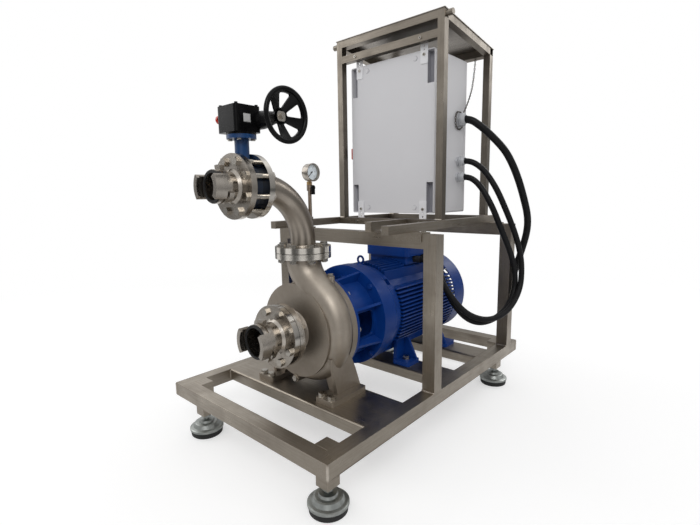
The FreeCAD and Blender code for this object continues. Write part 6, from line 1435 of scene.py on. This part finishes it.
@dataclass
class GaugeFace:
    """Printed dial of the pressure gauge."""

    centre: Point = (14.15, -303.0, 994.0)
    radius: float = 27.0
    thickness: float = 0.2
    numbers: tuple[int, ...] = (0, 2, 4, 6, 8, 10)
    number_size: float = 7.0
    number_inset: float = 10.0
    sweep: float = 270.0
    divisions: int = 50
    rim: float = 1.2
    long_tick: tuple[float, float] = (0.9, 5.0)
    short_tick: tuple[float, float] = (0.4, 2.6)
    tick_depth: float = 0.2
    tick_lift: float = 0.3
    number_depth: float = 0.05
    number_lift: float = 0.32

    def direction(self, share: float) -> Vector:
        """Direction on the dial, seen from +X.

        Args:
            share: Share of the scale.

        Returns:
            The direction from the middle of the dial.
        """
        angle = math.radians(-self.sweep / 2 + self.sweep * share)
        return Vector((0.0, math.sin(angle), math.cos(angle)))

    def build(self, paper: bpy.types.Material, ink: bpy.types.Material) -> None:
        """Makes the dial plate, its ticks and its numbers.

        Args:
            paper: Material of the plate.
            ink: Material of the print.
        """
        middle = place(self.centre)
        edge = self.radius
        disc = ((0.0, 0.0), (edge, 0.0), (edge, self.thickness), (0.0, self.thickness))
        turned_piece("gauge_dial", paper, [Turning(disc, middle, X_AXIS)])
        bm = bmesh.new()
        for index in range(self.divisions + 1):
            width, length = self.short_tick if index % 10 else self.long_tick
            way = self.direction(index / self.divisions)
            reach = edge - self.rim - length / 2
            centre = middle + way * (reach * MM) + X_AXIS * (self.tick_lift * MM)
            size = Matrix.Diagonal((width * MM, self.tick_depth * MM, length * MM, 1.0))
            bmesh.ops.create_cube(bm, size=1.0, matrix=aim(centre, way) @ size)
        finish_piece("gauge_ticks", bm, ink)
        for index, number in enumerate(self.numbers):
            self.number(number, index / (len(self.numbers) - 1), ink)

    def number(self, value: int, share: float, ink: bpy.types.Material) -> None:
        """Prints one number.

        Args:
            value: The number.
            share: Its place on the scale.
            ink: Material of the print.
        """
        text = bpy.data.curves.new(f"gauge_number_{value}", "FONT")
        text.body = str(value)
        text.size = self.number_size * MM
        text.align_x = "CENTER"
        text.align_y = "CENTER"
        text.extrude = self.number_depth * MM
        carrier = bpy.data.objects.new("number_carrier", text)
        mesh = bpy.data.meshes.new_from_object(carrier)
        bpy.data.objects.remove(carrier)
        facing = Matrix(((0, 0, 1), (1, 0, 0), (0, 1, 0))).to_4x4()
        reach = (self.radius - self.number_inset) * MM
        centre = place(self.centre) + self.direction(share) * reach + X_AXIS * (self.number_lift * MM)
        mesh.transform(Matrix.Translation(centre) @ facing)
        finish_piece(f"gauge_number_{value}", mesh, ink)


@dataclass
class SupplyPlug:
    """Five pole plug on the end of the supply cable."""

    axis_point: Point = (-428.0, 719.5, 34.0)
    shell_profile: tuple[tuple[float, float], ...] = (
        (17.0, 24.0), (24.0, 26.0), (27.0, 34.0), (28.0, 62.0), (30.0, 70.0), (33.0, 74.0), (33.6, 80.0),
        (33.6, 96.0), (32.0, 99.0), (31.0, 101.0), (31.0, 163.0), (30.0, 165.0), (28.0, 165.0),
        (28.0, 112.0), (0.0, 112.0),
    )
    nut_profile: tuple[tuple[float, float], ...] = (
        (15.6, -1.0), (17.0, 0.0), (20.0, 4.0), (20.5, 22.0), (18.5, 24.5), (16.0, 25.0), (15.6, 10.0),
        (15.6, -1.0),
    )
    insert_profile: tuple[tuple[float, float], ...] = (
        (0.0, 112.1), (27.0, 112.1), (27.5, 123.5), (26.5, 124.5), (0.0, 124.5),
    )
    ribs: int = 12
    rib_size: Point = (0.026, 0.003, 0.003)
    rib_round: float = 0.0008
    rib_middle: float = 48.0
    rib_reach: float = 27.5
    pins: int = 5
    pin_circle: float = 16.0
    pin_radius: float = 3.0
    first_pin_radius: float = 4.0
    pin_heights: tuple[float, float, float] = (120.0, 155.0, 158.0)

    def build(
        self, shell: bpy.types.Material, dark: bpy.types.Material, metal: bpy.types.Material
    ) -> list[bpy.types.Object]:
        """Makes shell, gland nut with insert, and pins.

        Args:
            shell: Moulded shell.
            dark: Gland nut and insert.
            metal: Pins.

        Returns:
            The pieces of the plug.
        """
        start = place(self.axis_point)
        away = -X_AXIS
        bm = bmesh.new()
        spin_profile(bm, self.shell_profile, start, away)
        for index in range(self.ribs):
            way = ring_way(index, self.ribs)
            rib = aim(start + away * (self.rib_middle * MM) + way * (self.rib_reach * MM), way)
            made = bmesh.ops.create_cube(bm, size=1.0, matrix=rib @ Matrix.Diagonal((*self.rib_size, 1.0)))
            edges = list({edge for vert in made["verts"] for edge in vert.link_edges})
            bmesh.ops.bevel(bm, geom=edges, offset=self.rib_round, segments=2, profile=0.5, affect="EDGES",
                            material=-1)
        bmesh.ops.recalc_face_normals(bm, faces=bm.faces)
        body = finish_piece("plug_shell", bm, shell)
        inner = (Turning(self.nut_profile, start, away, 24), Turning(self.insert_profile, start, away, 40))
        insert = turned_piece("plug_insert", dark, inner)
        turnings = []
        low, shoulder, tip = self.pin_heights
        for index in range(self.pins):
            thick = self.pin_radius if index else self.first_pin_radius
            profile = ((0.0, low), (thick, low), (thick, shoulder), (thick - 1.0, tip), (0.0, tip))
            foot = start + ring_way(index, self.pins) * (self.pin_circle * MM)
            turnings.append(Turning(profile, foot, away, 16))
        pins = turned_piece("plug_pins", metal, turnings)
        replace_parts(body, "supply_plug")
        return [body, insert, pins]


@dataclass
class CoilTies:
    """Three ties that hold the coil of the supply cable."""

    centre: tuple[float, float] = (-290.0, 905.0)
    radius: float = 170.0
    height: float = 31.0
    half: float = 31.6
    corner: float = 13.0
    corner_steps: int = 4
    angles: tuple[float, ...] = (20.0, 140.0, 215.0)
    width: float = 7.6
    thickness: float = 1.3
    lowest: float = 0.1

    def section(self) -> list[tuple[float, float]]:
        """Rounded square that one tie follows.

        Returns:
            Its points, in millimetres from the middle of the coil's section.
        """
        line = []
        for quarter in range(4):
            middle = math.pi / 2 * quarter + math.pi / 4
            u = math.copysign(self.half - self.corner, math.cos(middle))
            v = math.copysign(self.half - self.corner, math.sin(middle))
            for step in range(self.corner_steps + 1):
                angle = math.pi / 2 * (quarter + step / self.corner_steps)
                line.append((u + self.corner * math.cos(angle), v + self.corner * math.sin(angle)))
        return line

    def build(self, material: bpy.types.Material) -> bpy.types.Object:
        """Bends each tie round the section of the coil.

        Args:
            material: Material of the ties.

        Returns:
            The ties as one piece.
        """
        bm = bmesh.new()
        x, y = self.centre
        for degrees in self.angles:
            turn = math.radians(degrees)
            way = Vector((math.cos(turn), math.sin(turn), 0.0))
            middle = place((x + way.x * self.radius, y + way.y * self.radius, self.height))
            across = Vector((-way.y, way.x, 0.0)) * (self.width * MM)
            start = middle - across / 2
            verts = [bm.verts.new(start + way * (u * MM) + Z_AXIS * (v * MM)) for u, v in self.section()]
            edges = [bm.edges.new(pair) for pair in zip(verts, verts[1:] + verts[:1])]
            out = bmesh.ops.extrude_edge_only(bm, edges=edges)["geom"]
            moved = [item for item in out if isinstance(item, bmesh.types.BMVert)]
            bmesh.ops.translate(bm, verts=moved, vec=across)
        bmesh.ops.recalc_face_normals(bm, faces=bm.faces)
        bmesh.ops.solidify(bm, geom=bm.faces[:], thickness=self.thickness * MM)
        for vert in bm.verts:
            vert.co.z = max(vert.co.z, self.lowest * MM)
        return finish_piece("coil_ties", bm, material)


@dataclass
class GaugeGlass:
    """Clear lens of the gauge."""

    centre: Point = (23.2, -303.0, 994.0)
    profile: tuple[tuple[float, float], ...] = (
        (0.0, 0.0), (27.4, 0.0), (27.4, 1.0), (21.92, 1.6), (13.7, 2.0), (0.0, 2.1),
    )

    def build(self) -> bpy.types.Object:
        """Makes the lens.

        Returns:
            The lens.
        """
        material, graph, shader = new_material("gauge_glass")
        vector = graph.add("ShaderNodeTexCoord").outputs["Object"]
        film = Effects.use(graph, "smudge", vector, Scale=70.0)
        values = {
            "Base Color": (0.97, 0.98, 0.98),
            "Roughness": graph.span(film, 0.0, 1.0, 0.02, 0.07),
            "Transmission Weight": 1.0,
            "IOR": 1.15,
        }
        graph.fill(shader, values)
        return turned_piece("gauge_lens", material, [Turning(self.profile, place(self.centre), X_AXIS)])


@dataclass
class GaugeCase:
    """Open case of the gauge with its bezel and stem."""

    back: Point = (-4.0, -303.0, 994.0)
    profile: tuple[tuple[float, float], ...] = (
        (0.0, 0.0), (28.5, 0.0), (29.8, 0.6), (30.5, 2.0), (30.5, 23.0), (31.5, 24.0), (31.5, 29.2),
        (30.8, 30.0), (28.4, 30.0), (27.6, 28.8), (27.5, 18.0), (0.0, 18.0),
    )
    stem: Point = (3.0, -303.0, 962.5)
    stem_profile: tuple[tuple[float, float], ...] = ((0.0, 0.0), (6.0, 0.0), (6.0, 8.0), (0.0, 8.0))

    def build(self, material: bpy.types.Material) -> None:
        """Makes the case, which stands for the node with the closed window.

        Args:
            material: Turned steel.
        """
        case = Turning(self.profile, place(self.back), X_AXIS, 64)
        stem = Turning(self.stem_profile, place(self.stem), Z_AXIS, 32)
        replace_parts(turned_piece("gauge_open_case", material, [case, stem]), "gauge_case")


# Coatings of the nodes

PUMP_FLANGES = (
    Zone(BRIGHT, (-112.0, -466.0, 320.0), (112.0, -442.0, 550.0)),
    Zone(BRIGHT, (-102.0, -445.0, 694.0), (102.0, -235.0, 717.0)),
)
ELBOW_FLANGES = (
    Zone(BRIGHT, (-101.0, -445.0, 715.0), (101.0, -235.0, 738.5)),
    Zone(BRIGHT, (-101.0, -557.0, 840.0), (101.0, -535.0, 1045.0)),
)
FOOT_PAD = Zone(PAD_RUBBER, (-500.0, -750.0, -1.0), (500.0, 750.0, 21.2))
# Painted shade inside the cabinet's corner pockets.
CORNER_POCKET_SHADE = (
    Zone(PAINTED_RECESS_SHADE, (182.0, 189.5, 836.5), (213.9, 214.4, 1474.5)),
    Zone(PAINTED_RECESS_SHADE, (-213.9, 189.5, 836.5), (-182.0, 214.4, 1474.5)),
)
STOP_CAP = Zone(RED, (-85.0, -614.0, 1136.0), (-73.8, -586.0, 1164.0))
GEAR_LABEL = Zone(LABEL, (41.9, -598.0, 1132.0), (43.6, -573.0, 1156.0))
WHEEL_SCREW = Zone(BOLT, (138.5, -550.0, 1128.0), (152.0, -520.0, 1156.0))
LANTERN_BOLTS = Zone(BLUE, (-210.0, -140.0, 230.0), (210.0, -10.0, 650.0))
GAUGE_NUT = Zone(BRASS, (-20.0, -325.0, 951.0), (26.0, -280.0, 975.0))
# Painted shade on the valve body between the flanges.
VALVE_WAFER_SHADE = Zone(VALVE_BODY_SHADE, (-68.0, -604.0, 874.0), (68.0, -554.0, 1012.0), 67.0, "Y")
GEAR_TRAY = Zone(PLATE, (-200.0, 190.0, 820.0), (200.0, 222.5, 1500.0))
WINDING = Zone(COPPER, (-120.0, -20.0, 315.0), (120.0, 450.0, 555.0), 119.0, "Y")
SUCTION_RIM = Zone(BRIGHT, (-112.0, -487.5, 320.0), (112.0, -466.0, 550.0))

FASTENER = Coating("bright_fastener", BOLT)
DARK_MOULDING = Coating("dark_plastic", DARK_PLASTIC)
RED_MOULDING = Coating("moulded_red", RED)
SATIN_METAL = Coating("satin_steel", SATIN)
PRINT = Coating("dial_ink", INK)

DRESS: dict[Coating, str] = {
    Coating("base_tube", BASE_TUBE): "base_frame",
    Coating("beam_sheet", BEAM_SHEET): "cross_beams",
    Coating("portal_tube", PORTAL_TUBE): "portals",
    Coating("rail_tube", RAIL_TUBE): "support_rails",
    # Painted shade: the cage tubes get the darkened copy of the tube finish.
    Coating("cage_tube_painted_shade", CAGE_TUBE_PAINTED_SHADE): "cage_frame",
    Coating("roof_sheet", ROOF): "roof_sheet",
    FASTENER: "frame_bolts door_lock_upper door_lock_lower",
    # The cabinet body is grey, with painted shade in its corner pockets.
    Coating("cabinet_body_grey_pocket_shade", CABINET, CORNER_POCKET_SHADE): "cabinet_body",
    Coating("cabinet_grey", CABINET): "cabinet_door",
    Coating("bracket_white", BRACKET): "wall_brackets",
    Coating("gear_tray", PALE_PLASTIC, (GEAR_TRAY,)): "control_gear",
    DARK_MOULDING: "switch_base terminal_glands cooling_fan",
    RED_MOULDING: "switch_handle supply_plug",
    Coating("gland_grey", GLAND): "cabinet_glands",
    Coating("motor_housing", BLUE, (WINDING,)): "stator_housing",
    Coating("motor_blue", BLUE): "end_shields lantern fan_cover terminal_box terminal_lid lifting_eye",
    Coating("turned_steel", INNER): "motor_rotor motor_bearings seal_seat seal_ring worm_wheel worm_shaft",
    Coating("pump_casting", CAST, PUMP_FLANGES): "volute_casing",
    Coating("blasted_casting", CAST): "casing_cover impeller",
    Coating("suction_steel", SATIN, (SUCTION_RIM,)): "suction_coupling",
    SATIN_METAL: "suction_lock_ring outlet_coupling outlet_lock_ring",
    Coating("elbow_pipe", PIPE, ELBOW_FLANGES): "discharge_elbow",
    # The valve body is blue, with painted shade between its flanges.
    Coating("valve_blue", VALVE_BLUE, (VALVE_WAFER_SHADE,)): "valve_body",
    Coating("turned_bright", BRIGHT): "valve_disc gauge_case",
    Coating("gasket_rubber", GASKET): "valve_liner gaskets",
    Coating("gear_case", BLACK, (STOP_CAP, GEAR_LABEL)): "gear_housing",
    Coating("handwheel_black", BLACK, (WHEEL_SCREW,)): "handwheel",
    Coating("flange_fastener", BOLT, (LANTERN_BOLTS,)): "flange_bolts",
    Coating("gauge_riser", RISER, (GAUGE_NUT,)): "gauge_pipe",
    PRINT: "gauge_pointer",
    Coating("gloss_black", BLACK): "cock_handle",
    Coating("levelling_foot", ZINC, (FOOT_PAD,)): (
        "foot_front_left foot_front_right foot_rear_left foot_rear_right"
    ),
}
COATINGS = {node: coating for coating, nodes in DRESS.items() for node in nodes.split()}
HOSE_CLAWS = (HoseClaws("suction_coupling", -563.0), HoseClaws("outlet_coupling", -688.0))
ROUNDED = {
    "base_frame": 3.4, "portals": 3.4, "support_rails": 2.6, "cage_frame": 2.6, "cabinet_door": 1.2,
}


@dataclass
class Wardrobe:
    """All materials, each made once and given to the nodes."""

    made: dict[str, bpy.types.Material] = field(default_factory=dict)

    def get(self, coating: Coating) -> bpy.types.Material:
        """Returns the material of a coating, made on first use.

        Args:
            coating: The coating.

        Returns:
            Its material.
        """
        if coating.name not in self.made:
            self.made[coating.name] = coating.build()
        return self.made[coating.name]

    def dress(self, nodes: dict[str, bpy.types.Object]) -> None:
        """Gives each carried-over node its coating.

        Args:
            nodes: Node objects by name.
        """
        for name, node in nodes.items():
            if name not in COATINGS:
                continue
            material = self.get(COATINGS[name])
            for slot in node.material_slots:
                slot.link = "OBJECT"
                slot.material = material
            if not node.material_slots:
                node.data.materials.append(material)


def main() -> None:
    """Builds camera, cables, materials and pieces in order."""
    logging.basicConfig(level=logging.INFO, format="%(name)s: %(message)s")
    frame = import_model()
    nodes = frame["nodes"]
    PhotoCamera().build()
    wardrobe = Wardrobe()
    dark = wardrobe.get(DARK_MOULDING)
    sheath = wardrobe.get(Coating("cable_sheath", SHEATH))
    plug = SupplyPlug().build(wardrobe.get(RED_MOULDING), dark, wardrobe.get(FASTENER))
    ties = CoilTies().build(dark)
    route = (*SUPPLY_ROUTE, *SupplyCoil().route())
    replaced = ("supply_cable", "supply_coil")
    supply = FlexCable("supply_flex", route, SUPPLY_RADIUS, FarEnd.PLUG, replaced, "coiled")
    supply.build(sheath, [*plug, ties])
    for level, route in (("upper", MOTOR_ROUTE_UPPER), ("lower", MOTOR_ROUTE_LOWER)):
        replaced = (f"motor_cable_{level}",)
        FlexCable(f"motor_flex_{level}", route, MOTOR_RADIUS, FarEnd.OBJECT, replaced).build(sheath)
    LinkChain().build(wardrobe.get(Coating("chain_steel", CHAIN_STEEL)))
    wardrobe.dress(nodes)
    bodies = {node: body for body, names in frame["record"]["behaviour"]["bodies"].items() for node in names}
    edges = SoftEdges(ROUNDED, bodies)
    for node in ROUNDED:
        edges.build(node, nodes[node], wardrobe.get(COATINGS[node]))
    for claws in HOSE_CLAWS:
        claws.build(nodes[claws.node], wardrobe.get(COATINGS[claws.node]))
    WeldSeams().build(wardrobe.get(Coating("weld_bead", WELD)))
    ink = wardrobe.get(PRINT)
    GaugeFace().build(wardrobe.get(Coating("dial_white", PAPER_WHITE)), ink)
    # Ink is used for the painted shade in the screw recesses, and the painted recess shade for the plug rims.
    CabinetMarks().build(ink, wardrobe.get(Coating("recess_painted_shade", PAINTED_RECESS_SHADE)))
    GaugeGlass().build()
    GaugeCase().build(wardrobe.get(SATIN_METAL))
    Studio().build()
    bpy.context.scene.view_settings.view_transform = "Standard"


if __name__ == "__main__":
    main()
